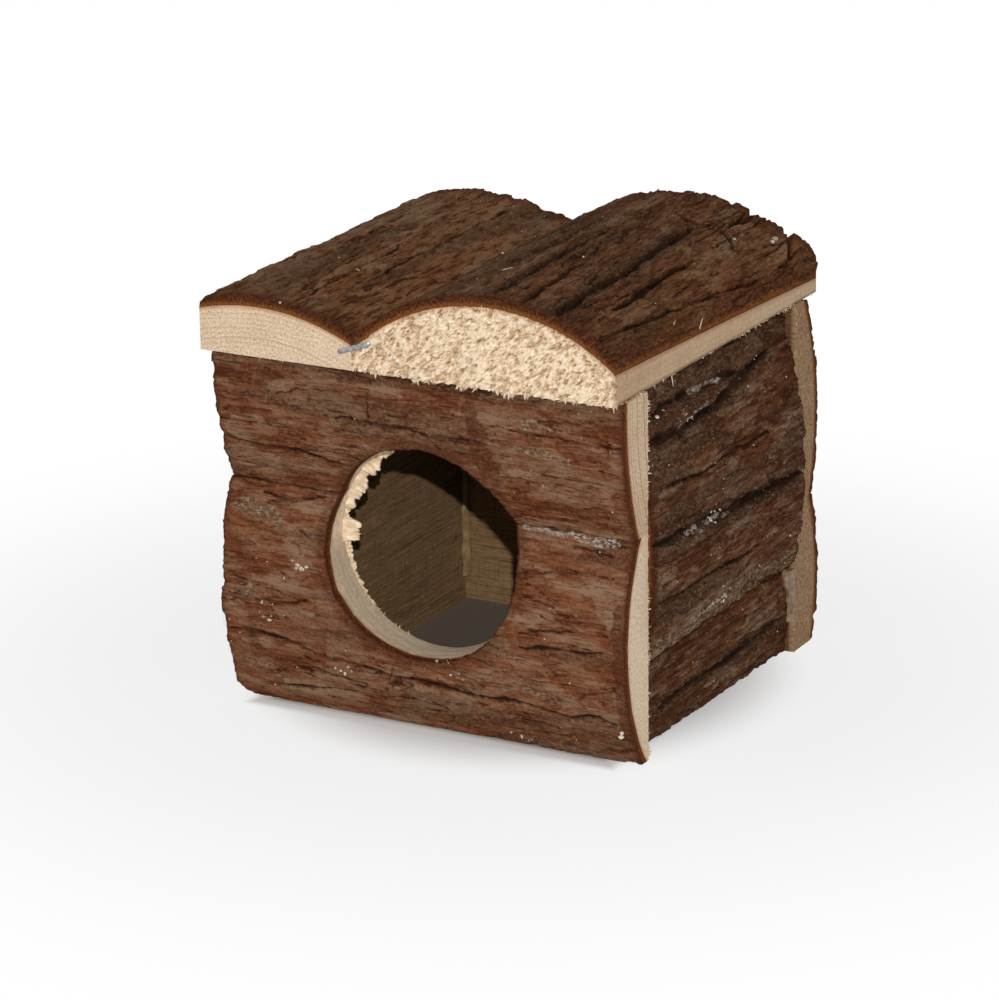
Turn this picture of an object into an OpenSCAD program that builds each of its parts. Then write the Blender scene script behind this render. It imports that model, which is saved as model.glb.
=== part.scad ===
// Small rodent house of split-log slabs with the bark left on.
// Each slab is sawn out of its own tapered log, flat inside and round outside.
// Front is -Y, right is +X, the walls stand on the ground at Z = 0.

/* [Room] */
// Clear width between the side walls
room_w = 75; // [65:0.5:90]
// Clear depth between the front and rear walls
room_d = 79; // [70:0.5:100]
// Height of the walls, from the ground to the roof
wall_h = 87.5; // [82:0.5:100]
// Reach of the front and rear walls past the inner faces of the side walls
corner_cover = 15.7; // [14:0.1:18]

/* [Entrance] */
// Diameter of the round entrance
entrance_d = 50; // [38:0.5:56]
// Height of the entrance's centre above the ground
entrance_z = 44.2; // [38:0.1:50]

/* [Front wall] */
// Height of the seam between the two slabs
front_seam = 54.5; // [46:0.5:62]
// Thickness of the lower slab at its crest, bark included
front_lower_thick = 11.7; // [10:0.1:15]
// Thickness of the lower slab at its thinner edge, bark included
front_lower_edge = 3.4; // [3:0.1:6]
// Height of the lower slab's crest
front_lower_crest = 29; // [22:0.5:34]
// Thickness of the upper slab at its crest, bark included
front_upper_thick = 11.9; // [10:0.1:15]
// Thickness of the upper slab at its thinner edge, bark included
front_upper_edge = 5.6; // [4.5:0.1:8]
// Height of the upper slab's crest above the seam
front_upper_crest = 29.5; // [20:0.5:34]

/* [Rear wall] */
// Height of the seam between the two slabs
rear_seam = 38; // [30:0.5:50]
// Thickness of the lower slab at its crest, bark included
rear_lower_thick = 13.6; // [12:0.1:15]
// Thickness of the lower slab at its thinner edge, bark included
rear_lower_edge = 9.1; // [7:0.1:11]
// Height of the lower slab's crest
rear_lower_crest = 16; // [10:0.5:24]
// Thickness of the upper slab at its crest, bark included
rear_upper_thick = 12.8; // [10:0.1:15]
// Thickness of the upper slab at its thinner edge, bark included
rear_upper_edge = 5.1; // [4.5:0.1:8]
// Height of the upper slab's crest above the seam
rear_upper_crest = 19; // [12:0.5:28]

/* [Side walls] */
// Radius of the logs of the lower slabs, bark included
side_lower_log_r = 62; // [50:1:90]
// Radius of the larger logs of the upper slabs, bark included
side_upper_log_r = 118; // [100:1:160]
// Height of the right wall's seam
right_seam = 23.5; // [18:0.5:34]
// Thickness of the right lower slab at its crest, bark included
right_lower_thick = 12.6; // [10:0.1:15]
// Thickness of the right upper slab at its crest, bark included
right_upper_thick = 18; // [14:0.1:20]
// Height of the left wall's seam
left_seam = 28; // [18:0.5:36]
// Thickness of the left lower slab at its crest, bark included
left_lower_thick = 13.4; // [10:0.1:15]
// Thickness of the left upper slab at its crest, bark included
left_upper_thick = 18; // [14:0.1:20]
// Height of the lower slabs' crest
side_lower_crest = 9; // [6:0.5:16]
// Height of the upper slabs' crest above their seam
side_upper_crest = 24; // [16:0.5:32]

/* [Roof] */
// Reach of the roof past the inner faces of the front and rear walls
roof_reach = 14.5; // [13:0.1:22]
// Reach of the roof past the left ends of the walls
roof_left_over = 1; // [-2:0.1:6]
// Reach of the roof past the right ends of the walls
roof_right_over = -0.7; // [-2:0.1:6]
// Width of the right slab at mid length
roof_right_w = 65.6; // [55:0.1:72]
// Skew of the valley cut between the two slabs, in degrees
roof_skew = 1.2; // [0:0.1:3]
// Thickness of the right slab at its crest, bark included
roof_right_thick = 20.9; // [17:0.1:24]
// Radius of the right slab's log, bark included
roof_right_log_r = 49.8; // [45:0.2:60]
// Distance of the right slab's crest from the valley
roof_right_crest = 32.6; // [26:0.2:38]
// Thickness of the left slab at its crest, bark included
roof_left_thick = 14.4; // [12:0.1:18]
// Radius of the left slab's log, bark included
roof_left_log_r = 60.5; // [48:0.5:70]
// Distance of the left slab's crest from the valley
roof_left_crest = 25.8; // [18:0.2:30]
// Radius of the worn rear corner of the right slab
roof_corner_r = 4; // [1:0.5:8]

/* [Bark] */
// Thickness of the bark
bark = 2.1; // [1.6:0.1:2.8]
// Depth of the deepest furrows
furrow_depth = 1.4; // [0.6:0.1:1.5]
// Distance between neighbouring furrows of the walls, across the grain
furrow_pitch = 9; // [7:0.5:14]

/* [Fastening] */
// Diameter of the staple wire
wire_d = 1; // [0.7:0.1:1.4]
// Distance between the legs of the staples across the valley
crown_w = 8.5; // [6:0.5:12]
// Length of the staples' legs
leg_len = 10; // [6:0.5:14]
// Clearance around a driven staple
staple_gap = 0.05; // [0.02:0.01:0.1]
// Radius of the glue beads in the corners of the room
glue_r = 1.8; // [1.2:0.1:4]
// Radius of the glue squeezed out of the right rear corner
squeeze_r = 1.9; // [1.5:0.1:2.5]

/* [Hidden] */

$fn = 96;
// Overrun of the cutting shapes
over = 1;
// Depth of the block that a slab is cut from, more than any slab's thickness
stock = 40;
// Share of its length that a log runs on past each end of its slab
log_overrun = 0.3;
// Half width of a furrow's outline, and how far that outline lies above the bark
furrow_half = 2;
furrow_lift = 0.7;
// Share of a furrow's length over which it keeps its full depth
furrow_keel = 0.4;
// Bark left under the deepest furrow, and the most that a furrow leans off the grain in degrees
furrow_floor = 0.5;
furrow_lean = 1.5;
// Shares: how much of its strip and of the slab's length a furrow's middle may lie in, and
// the length and depth of the least furrow beside the greatest
furrow_stray = 0.3;
furrow_shift = 0.6;
furrow_short = 0.5;
furrow_shallow = 0.6;
// Facets of a log in previews
log_fn = 240;

wood_color = "burlywood";
bark_color = "saddlebrown";
wire_color = "silver";
glue_color = "wheat";

wall_len = room_w + 2 * corner_cover;
roof_len = room_d + 2 * roof_reach;
roof_x0 = -wall_len / 2 - roof_left_over;
roof_x1 = wall_len / 2 + roof_right_over;
valley_x = roof_x1 - roof_right_w;
valley_shift = roof_len * tan(roof_skew) / 2;

// The value at each end of a slab, from its mean and its change over the length
function ends(mean, change = 0) = [mean - change / 2, mean + change / 2];
function along(pair, share) = pair[0] + (pair[1] - pair[0]) * share;

// Radii of a log whose slab thins from its crest to the given thickness at its farther edge
function radii_for(low, high, crest, thick, edge) = [
    for (i = [0, 1])
        let (reach = max(crest[i] - low[i], high[i] - crest[i]), drop = thick[i] - edge[i])
            (pow(reach, 2) + pow(drop, 2)) / (2 * drop)
];

// Change of each slab's crest, thickness and log radius over its length, because a log tapers
left_lower_taper = [2, 1.5, 2];
left_upper_taper = [0, 0.8, 4];
right_lower_taper = [-2, -3, -2];
right_upper_taper = [0, -0.8, -4];
roof_left_taper = [1, 0.9, 3];
roof_right_taper = [-2.5, -0.3, -3.5];
// On the front and rear walls the change of the edge's thickness stands in the radius's place
front_lower_taper = [0, -1.3, -0.2];
front_upper_taper = [0, -0.9, -2.5];
rear_lower_taper = [1, 0.6, 1.2];
rear_upper_taper = [2, 0.5, 2.4];

// A slab lies on its sawn face: x runs across, y along the grain, z out to the bark.
// It is [length, low edge, high edge, crest, thickness, log radius], pairs from near end to far end.
function end_wall_slab(low, high, crest, thick, edge) =
    [wall_len, low, high, crest, thick, radii_for(low, high, crest, thick, edge)];

front_lower = end_wall_slab(
    ends(0), ends(front_seam), ends(front_lower_crest, front_lower_taper[0]),
    ends(front_lower_thick, front_lower_taper[1]), ends(front_lower_edge, front_lower_taper[2])
);
front_upper = end_wall_slab(
    ends(front_seam), ends(wall_h), ends(front_seam + front_upper_crest, front_upper_taper[0]),
    ends(front_upper_thick, front_upper_taper[1]), ends(front_upper_edge, front_upper_taper[2])
);
rear_lower = end_wall_slab(
    ends(0), ends(rear_seam), ends(rear_lower_crest, rear_lower_taper[0]),
    ends(rear_lower_thick, rear_lower_taper[1]), ends(rear_lower_edge, rear_lower_taper[2])
);
rear_upper = end_wall_slab(
    ends(rear_seam), ends(wall_h), ends(rear_seam + rear_upper_crest, rear_upper_taper[0]),
    ends(rear_upper_thick, rear_upper_taper[1]), ends(rear_upper_edge, rear_upper_taper[2])
);
left_lower = [
    room_d, ends(0), ends(left_seam), ends(side_lower_crest, left_lower_taper[0]),
    ends(left_lower_thick, left_lower_taper[1]), ends(side_lower_log_r, left_lower_taper[2])
];
left_upper = [
    room_d, ends(left_seam), ends(wall_h), ends(left_seam + side_upper_crest, left_upper_taper[0]),
    ends(left_upper_thick, left_upper_taper[1]), ends(side_upper_log_r, left_upper_taper[2])
];
right_lower = [
    room_d, ends(0), ends(right_seam), ends(side_lower_crest, right_lower_taper[0]),
    ends(right_lower_thick, right_lower_taper[1]), ends(side_lower_log_r, right_lower_taper[2])
];
right_upper = [
    room_d, ends(right_seam), ends(wall_h), ends(right_seam + side_upper_crest, right_upper_taper[0]),
    ends(right_upper_thick, right_upper_taper[1]), ends(side_upper_log_r, right_upper_taper[2])
];
roof_left = [
    roof_len, ends(roof_x0), ends(valley_x, 2 * valley_shift),
    ends(valley_x - roof_left_crest, roof_left_taper[0]),
    ends(roof_left_thick, roof_left_taper[1]), ends(roof_left_log_r, roof_left_taper[2])
];
roof_right = [
    roof_len, ends(valley_x, 2 * valley_shift), ends(roof_x1),
    ends(valley_x + roof_right_crest, roof_right_taper[0]),
    ends(roof_right_thick, roof_right_taper[1]), ends(roof_right_log_r, roof_right_taper[2])
];

// Height of a slab's bark above its sawn face, across and along the grain
function log_radius(s, y) = along(s[5], y / s[0]);
function off_crest(s, x, y) = x - along(s[3], y / s[0]);
function bark_height(s, x, y) =
    along(s[4], y / s[0]) - log_radius(s, y) + sqrt(pow(log_radius(s, y), 2) - pow(off_crest(s, x, y), 2));

// Places of the pieces in the house
module on_front() {
    translate([wall_len / 2, -room_d / 2, 0]) rotate([0, -90, 90]) children();
}
module on_rear() {
    translate([-wall_len / 2, room_d / 2, 0]) rotate([0, -90, -90]) children();
}
module on_left() {
    translate([-room_w / 2, -room_d / 2, 0]) rotate([0, -90, 0]) children();
}
module on_right() {
    translate([room_w / 2, room_d / 2, 0]) rotate([0, -90, 180]) children();
}
module on_roof() {
    translate([0, -roof_len / 2, wall_h]) children();
}

// A round bar from one point to another that may taper
module bar(from, to, r_from, r_to) {
    run = to - from;
    translate(from)
        rotate([0, acos(run[2] / norm(run)), atan2(run[1], run[0])])
            cylinder(h = norm(run), r1 = r_from, r2 = r_to, $fn = log_fn);
}

// The log that a slab is sawn from, without its outermost layer of the given depth.
// The slab's ends cut a tilted log aslant, and its radius makes up for that at the crest.
module log(s, peel = 0) {
    near = [s[3][0], 0, s[4][0] - s[5][0]];
    far = [s[3][1], s[0], s[4][1] - s[5][1]];
    tilt = atan((far[2] - near[2]) / s[0]);
    growth = (s[5][1] - s[5][0]) / s[0];
    aslant = cos(tilt) / (1 + growth * sin(tilt) * cos(tilt));
    run_on = (far - near) * log_overrun;
    swell = (s[5][1] - s[5][0]) * log_overrun;
    bar(
        near - run_on, far + run_on,
        aslant * (s[5][0] - swell - peel), aslant * (s[5][1] + swell - peel)
    );
}

// The sawn block between a slab's edges and ends
module block(s) {
    linear_extrude(stock)
        polygon([[s[1][0], 0], [s[2][0], 0], [s[2][1], s[0]], [s[1][1], s[0]]]);
}

// A long V groove that runs out at both ends: a keel under a pointed strip just above the bark
module furrow(length, depth) {
    tip = length / 2;
    keel = tip * furrow_keel;
    strip = [
        [0, -tip], [furrow_half, -keel], [furrow_half, keel],
        [0, tip], [-furrow_half, keel], [-furrow_half, -keel]
    ];
    polyhedron(
        points = concat(
            [for (p = strip) [p[0], p[1], furrow_lift]],
            [[0, -keel, -depth], [0, keel, -depth]]
        ),
        faces = [
            [5, 4, 3, 2, 1, 0], [0, 1, 6], [1, 2, 7, 6], [2, 3, 7], [3, 4, 7], [4, 5, 6, 7], [5, 0, 6]
        ]
    );
}

// Seats a furrow on a slab's bark, with its middle at x, y
module furrow_at(s, x, y, lean, length, depth) {
    rise = atan((s[4][1] - s[4][0]) / s[0]);
    translate([x, y, bark_height(s, x, y)])
        rotate([rise, asin(off_crest(s, x, y) / log_radius(s, y)), 0])
            rotate([0, 0, lean])
                furrow(length, depth);
}

// Deepest that a furrow may go
function deepest_furrow() = min(furrow_depth, bark - furrow_floor);

// Main furrows of the roof and the right wall, each from one end to the other as a distance across
// from the slab's crest and a distance along it (from the roof's front, from the wall's rear end),
// with its share of the full depth
roof_left_furrows = [
    [[8.3, 4], [6.3, 60], 0.7], [[13.2, 30], [12.4, 100], 0.7], [[-4.5, 24], [-6.2, 92], 0.6],
    [[-11, 6], [-12, 50], 0.5]
];
roof_right_furrows = [
    [[15.4, 2], [12.6, 84], 1], [[22.1, 18], [20.4, 64], 0.9], [[-0.5, 6], [-2.4, 60], 0.9],
    [[7.4, 4], [5.4, 34], 0.8], [[-11.9, 28], [-8.9, 78], 1], [[-20.5, 16], [-19, 98], 0.9],
    [[17.8, 88], [17.4, 112], 1], [[7.6, 86.6], [15, 85.6], 1], [[25.8, 5], [31.4, 80], 0.6],
    [[31.6, 88], [26.8, 106], 0.8]
];
right_lower_furrows = [[[-1.6, 72], [-0.2, 2], 0.9], [[8.4, 64], [7.4, 18], 0.6], [[-5.6, 70], [-6.2, 28], 0.5]];
right_upper_furrows = [
    [[26.6, 78], [26.2, 46], 1], [[27.6, 40], [32, 12], 1], [[3.9, 78], [-0.9, 2], 1],
    [[16, 75], [13.9, 18], 0.7], [[-10.7, 77], [-12.5, 24], 0.8]
];

module main_furrows(s, furrows) {
    for (f = furrows) {
        run = f[1] - f[0];
        middle = (f[0] + f[1]) / 2;
        x = along(s[3], middle[1] / s[0]) + middle[0];
        furrow_at(s, x, middle[1], -atan2(run[0], run[1]), norm(run), deepest_furrow() * f[2]);
    }
}

// Furrows spread over a slab's bark, their places, lengths and leans drawn from a seed
module furrow_set(s, seed) {
    count = max(2, round((s[2][0] - s[1][0]) / furrow_pitch));
    draw = rands(0, 1, count * 4, seed);
    for (i = [0:count - 1]) {
        share = (i + along(ends(0.5, furrow_stray), draw[4 * i])) / count;
        y = s[0] * along(ends(0.5, furrow_shift), draw[4 * i + 1]);
        x = along([along(s[1], y / s[0]), along(s[2], y / s[0])], share);
        length = s[0] * along([furrow_short, 1], draw[4 * i + 2]);
        lean = furrow_lean * (2 * draw[4 * i + 3] - 1);
        furrow_at(s, x, y, lean, length, deepest_furrow() * along([furrow_shallow, 1], draw[4 * i + 2]));
    }
}

module wood_of(s) {
    intersection() {
        block(s);
        log(s, bark);
    }
}

// The bark of a slab, less the furrows that are given as children
module bark_of(s) {
    difference() {
        intersection() {
            block(s);
            log(s);
        }
        log(s, bark);
        children();
    }
}

// The bored entrance, through both slabs of the front wall
module entrance() {
    translate([0, -room_d / 2 + over, entrance_z])
        rotate([90, 0, 0])
            cylinder(h = stock, d = entrance_d);
}

// A staple lies with its crown along y and its legs pointing down
module staple(gap = 0) {
    half = crown_w / 2;
    r = wire_d / 2 + gap;
    bar([0, -half, 0], [0, half, 0], r, r);
    for (side = [-half, half]) {
        translate([0, side, 0]) sphere(r);
        translate([0, side, -leg_len]) cylinder(h = leg_len, r = r);
    }
}

// The staple across the valley in the roof's end grain, near end 0 or far end 1
// Its middle lies this far up from the roof's underside and right of the valley, and it
// tilts with the right slab's rise
valley_staple_z = 5.5;
valley_staple_x = 0.8;
valley_staple_tilt = 21;

module valley_staple(end, gap = 0) {
    middle = [along(roof_right[1], end) + valley_staple_x, end * roof_len, valley_staple_z];
    on_roof()
        translate(middle)
            rotate([end == 0 ? 90 : -90, 0, 0])
                rotate([0, 0, (end == 0 ? 1 : -1) * valley_staple_tilt - 90])
                    staple(gap);
}

// The worn corner at the right rear of the roof
module worn_corner() {
    translate([roof_x1 - roof_corner_r, roof_len / 2 - roof_corner_r, wall_h - over])
        difference() {
            cube([roof_corner_r + over, roof_corner_r + over, stock]);
            cylinder(h = stock, r = roof_corner_r);
        }
}

// The ten slabs
module front_lower_slab() {
    color(wood_color) difference() {
        on_front() wood_of(front_lower);
        entrance();
    }
}
module front_upper_slab() {
    color(wood_color) difference() {
        on_front() wood_of(front_upper);
        entrance();
    }
}
module rear_lower_slab() {
    color(wood_color) on_rear() wood_of(rear_lower);
}
module rear_upper_slab() {
    color(wood_color) on_rear() wood_of(rear_upper);
}
module left_lower_slab() {
    color(wood_color) on_left() wood_of(left_lower);
}
module left_upper_slab() {
    color(wood_color) on_left() wood_of(left_upper);
}
module right_lower_slab() {
    color(wood_color) on_right() wood_of(right_lower);
}
module right_upper_slab() {
    color(wood_color) on_right() wood_of(right_upper);
}
module roof_left_slab() {
    color(wood_color) difference() {
        on_roof() wood_of(roof_left);
        valley_staple(0, staple_gap);
        valley_staple(1, staple_gap);
    }
}
module roof_right_slab() {
    color(wood_color) difference() {
        on_roof() wood_of(roof_right);
        valley_staple(0, staple_gap);
        valley_staple(1, staple_gap);
        worn_corner();
    }
}

// The bark on each slab: on the other walls its furrows are drawn from the slab's own seed
module front_lower_bark() {
    color(bark_color) difference() {
        on_front() bark_of(front_lower) furrow_set(front_lower, 11);
        entrance();
    }
}
module front_upper_bark() {
    color(bark_color) difference() {
        on_front() bark_of(front_upper) furrow_set(front_upper, 12);
        entrance();
    }
}
module rear_lower_bark() {
    color(bark_color) on_rear() bark_of(rear_lower) furrow_set(rear_lower, 13);
}
module rear_upper_bark() {
    color(bark_color) on_rear() bark_of(rear_upper) furrow_set(rear_upper, 14);
}
module left_lower_bark() {
    color(bark_color) on_left() bark_of(left_lower) furrow_set(left_lower, 15);
}
module left_upper_bark() {
    color(bark_color) on_left() bark_of(left_upper) furrow_set(left_upper, 16);
}
module right_lower_bark() {
    color(bark_color) on_right() bark_of(right_lower) main_furrows(right_lower, right_lower_furrows);
}
module right_upper_bark() {
    color(bark_color) on_right() bark_of(right_upper) main_furrows(right_upper, right_upper_furrows);
}
module roof_left_bark() {
    color(bark_color) on_roof() bark_of(roof_left) main_furrows(roof_left, roof_left_furrows);
}
module roof_right_bark() {
    color(bark_color) difference() {
        on_roof() bark_of(roof_right) main_furrows(roof_right, roof_right_furrows);
        worn_corner();
    }
}

// The staples
module valley_staple_front() {
    color(wire_color) valley_staple(0);
}
module valley_staple_rear() {
    color(wire_color) valley_staple(1);
}

// The room, which the glue beads are laid in
module room() {
    translate([-room_w / 2, -room_d / 2, 0]) cube([room_w, room_d, wall_h]);
}

// Distance of the beads' ends from the ground and from the next bead
glue_end_gap = 6;

// Beads of glue up the four corners of the room
module corner_glue() {
    color(glue_color) intersection() {
        for (x = [-1, 1], y = [-1, 1]) {
            translate([x * room_w / 2, y * room_d / 2, glue_end_gap])
                cylinder(h = wall_h - 2 * glue_end_gap, r = glue_r);
        }
        room();
    }
}

// Beads of glue along the tops of the four walls, under the roof
module roof_glue() {
    x_len = room_w - 2 * glue_end_gap;
    y_len = room_d - 2 * glue_end_gap;
    color(glue_color) intersection() {
        union() {
            for (y = [-1, 1])
                translate([-x_len / 2, y * room_d / 2, wall_h])
                    rotate([0, 90, 0]) cylinder(h = x_len, r = glue_r);
            for (x = [-1, 1])
                translate([x * room_w / 2, y_len / 2, wall_h])
                    rotate([90, 0, 0]) cylinder(h = y_len, r = glue_r);
        }
        room();
    }
}

// Height of the pressed-out glue above the ground, and its top's distance from the seam
squeeze_low = 8;
squeeze_top_gap = 2;

// Glue that was pressed out between the right lower slab and the rear wall
module glue_squeeze_out() {
    color(glue_color) difference() {
        translate([room_w / 2 + bark_height(right_lower, squeeze_low, 0), room_d / 2, squeeze_low])
            cylinder(h = right_seam - squeeze_low - squeeze_top_gap, r = squeeze_r);
        on_right() log(right_lower);
        translate([0, room_d / 2, 0]) cube([wall_len, stock, wall_h]);
    }
}

front_lower_slab();
front_lower_bark();
front_upper_slab();
front_upper_bark();
rear_lower_slab();
rear_lower_bark();
rear_upper_slab();
rear_upper_bark();
left_lower_slab();
left_lower_bark();
left_upper_slab();
left_upper_bark();
right_lower_slab();
right_lower_bark();
right_upper_slab();
right_upper_bark();
roof_left_slab();
roof_left_bark();
roof_right_slab();
roof_right_bark();
valley_staple_front();
valley_staple_rear();
corner_glue();
roof_glue();
glue_squeeze_out();
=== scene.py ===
# %% [markdown]
# # A small rodent house of bark-on slabs
# The house is knocked together from the offcuts of small logs: half-round slabs, sawn flat inside
# and with the bark left on outside. Two slabs make each wall and two arched ones make the roof.
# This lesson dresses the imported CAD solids: the solids say where each slab is and how its log
# curves, and the cells below grow bark, saw marks, torn fibres, glue and wire on that frame.

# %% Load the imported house
import math
import bmesh
import bpy
import numpy as np
from mathutils import Matrix, Vector


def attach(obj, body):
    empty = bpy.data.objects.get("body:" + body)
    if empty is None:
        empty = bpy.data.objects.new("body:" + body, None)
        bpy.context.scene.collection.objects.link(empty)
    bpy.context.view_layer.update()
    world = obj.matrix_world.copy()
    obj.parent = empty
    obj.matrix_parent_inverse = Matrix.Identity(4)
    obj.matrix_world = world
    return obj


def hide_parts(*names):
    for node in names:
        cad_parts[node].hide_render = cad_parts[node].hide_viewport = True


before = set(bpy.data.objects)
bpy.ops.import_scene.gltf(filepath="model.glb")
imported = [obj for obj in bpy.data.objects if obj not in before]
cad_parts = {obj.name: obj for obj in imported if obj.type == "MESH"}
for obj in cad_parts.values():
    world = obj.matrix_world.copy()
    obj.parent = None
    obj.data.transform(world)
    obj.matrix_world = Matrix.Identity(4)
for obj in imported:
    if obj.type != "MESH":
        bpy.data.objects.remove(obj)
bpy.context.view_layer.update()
MM = 0.001

# %% [markdown]
# ## Reading the logs back from the solids
# Each slab is one segment of a log that tapers and leans a little, so its two ends are slightly
# different circles. The numbers could be copied from the CAD source, but measuring them on the
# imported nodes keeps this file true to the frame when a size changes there. A circle is fitted to
# the bark-side arc at both ends of each slab's wood. From then on a slab is worked on lying on its
# sawn face: x runs across the slab, y along the grain and z out to the bark, all in millimetres.

# %% Fit each slab's log
SLABS = ("front_lower", "front_upper", "rear_lower", "rear_upper", "left_lower", "left_upper",
         "right_lower", "right_upper", "roof_left", "roof_right")
# Directions across, along and out of a wall's slabs
WALL_AXES = {
    "front": ((0, 0, 1), (-1, 0, 0), (0, -1, 0)),
    "rear": ((0, 0, 1), (1, 0, 0), (0, 1, 0)),
    "left": ((0, 0, 1), (0, 1, 0), (-1, 0, 0)),
    "right": ((0, 0, 1), (0, -1, 0), (1, 0, 0)),
    "roof": ((1, 0, 0), (0, 1, 0), (0, 0, 1)),
}
# In mm: the bark's thickness, how near an end's plane its points lie, and what is left off an arc's ends
BARK = 2.1
END_PLANE = 0.02
ARC_MARGIN = 0.1


def points_of(piece):
    """A piece's points in mm."""
    flat = np.zeros(len(piece.data.vertices) * 3)
    piece.data.vertices.foreach_get("co", flat)
    return flat.reshape(-1, 3) / MM


def node_points(node):
    return points_of(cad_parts[node])


def turns_down(first, middle, last):
    run = middle - first
    rest = last - first
    return run[0] * rest[1] < run[1] * rest[0]


def upper_outline(points):
    """The points of an end's arc, without those of the staple holes inside it."""
    outline = []
    for point in points[np.lexsort((points[:, 1], points[:, 0]))]:
        while len(outline) > 1 and not turns_down(*outline[-2:], point):
            outline.pop()
        outline.append(point)
    return outline


class Slab:
    """One slab, lying on its sawn face, with the log that it was cut from."""

    def __init__(self, number, name):
        self.number = number
        self.name = name
        self.wall = name.split("_")[0]
        self.axes = np.array(WALL_AXES[self.wall], float)
        self.shift = np.zeros(3)
        points = self.lay_down(node_points(name + "_slab"))
        self.shift = np.array([0.0, points[:, 1].min(), points[:, 2].min()])
        points = points - self.shift
        self.length = points[:, 1].max()
        self.ends = np.array([self.fit_end(points, 0.0), self.fit_end(points, self.length)])
        # The CAD rounds this slab's rear corner, so its side is taken to run on straight
        if name == "roof_right":
            self.ends[1, 4] = self.ends[0, 4]

    def fit_end(self, points, y):
        """Crest, height of the pith, radius, low edge and high edge of the log at one end."""
        end = points[np.abs(points[:, 1] - y) < END_PLANE]
        low = end[:, 0].min()
        high = end[:, 0].max()
        arc = np.array(upper_outline(end[:, [0, 2]]))
        arc = arc[(arc[:, 0] > low + ARC_MARGIN) & (arc[:, 0] < high - ARC_MARGIN)]
        sides = np.column_stack([2 * arc, np.ones(len(arc))])
        crest, centre, rest = np.linalg.lstsq(sides, (arc ** 2).sum(1), rcond=None)[0]
        return crest, centre, math.sqrt(rest + crest ** 2 + centre ** 2), low, high

    def at(self, share):
        """The same five values at a share of the length."""
        share = np.asarray(share)[..., None]
        return np.moveaxis(self.ends[0] * (1 - share) + self.ends[1] * share, -1, 0)

    def lay_down(self, world):
        return world @ self.axes.T - self.shift

    def stand_up(self, local):
        return (local + self.shift) @ self.axes

    def unroll(self, local):
        """Place round the log and along it, height over the wood and distance from the pith."""
        crest, centre, radius = self.at(np.clip(local[:, 1] / self.length, 0, 1))[:3]
        from_pith = np.hypot(local[:, 0] - crest, local[:, 2] - centre)
        turn = np.arctan2(local[:, 0] - crest, local[:, 2] - centre)
        return turn * (radius + BARK), local[:, 1], from_pith - radius, from_pith


slabs = {name: Slab(number, name) for number, name in enumerate(SLABS)}
for slab in slabs.values():
    print(slab.name, "length", round(slab.length, 1), "log radius", slab.ends[:, 2].round(1))

# %% [markdown]
# ## Noise to grow bark from
# Bark has no two places alike, so its relief is built from seeded noise. Blender's textures could
# displace the mesh, but the same fields are also needed as colour masks after the entrance has
# been bored, so small numpy fields do both jobs: smooth value noise, several octaves of it,
# and the steps that cut such noise into layers and scales.

# %% Noise fields
NOISE_CELLS = 127


def smooth(low, high, value):
    share = np.clip((value - low) / (high - low), 0, 1)
    return share * share * (3 - 2 * share)


def value_noise(u, v, seed):
    table = np.random.default_rng(seed).random((NOISE_CELLS + 1, NOISE_CELLS + 1))
    iu = np.floor(u).astype(int)
    iv = np.floor(v).astype(int)
    fu = smooth(0, 1, u - iu)
    fv = smooth(0, 1, v - iv)
    iu = iu % NOISE_CELLS
    iv = iv % NOISE_CELLS
    near = table[iu, iv] * (1 - fu) + table[iu + 1, iv] * fu
    far = table[iu, iv + 1] * (1 - fu) + table[iu + 1, iv + 1] * fu
    return near * (1 - fv) + far * fv


def fbm(u, v, seed, octaves=4):
    """Several octaves of value noise, from 0 to 1."""
    total = 0.0
    weight = 0.0
    for octave in range(octaves):
        scale = 2.0 ** octave
        layer = value_noise(u * scale + 17.3 * octave, v * scale + 9.1 * octave, seed + octave)
        total = total + layer / scale
        weight = weight + 1 / scale
    return total / weight


def uneven(u, v, seed, octaves=4):
    """The same noise about zero."""
    return fbm(u, v, seed, octaves) - 0.5


print("noise over a test patch:", fbm(np.linspace(0, 5, 7), np.linspace(0, 3, 7), 1).round(2))

# %% [markdown]
# ## Where this house's bark is marked
# The photograph shows main cracks, pale and red bands, chalky streaks and, at the roof's right rear
# corner, a plate of bark that stands proud. Noise alone would put such marks anywhere, so the large
# ones are placed one by one as paths on the unrolled bark, in millimetres across and along the
# grain, and only their ragged outlines are left to noise.

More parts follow.
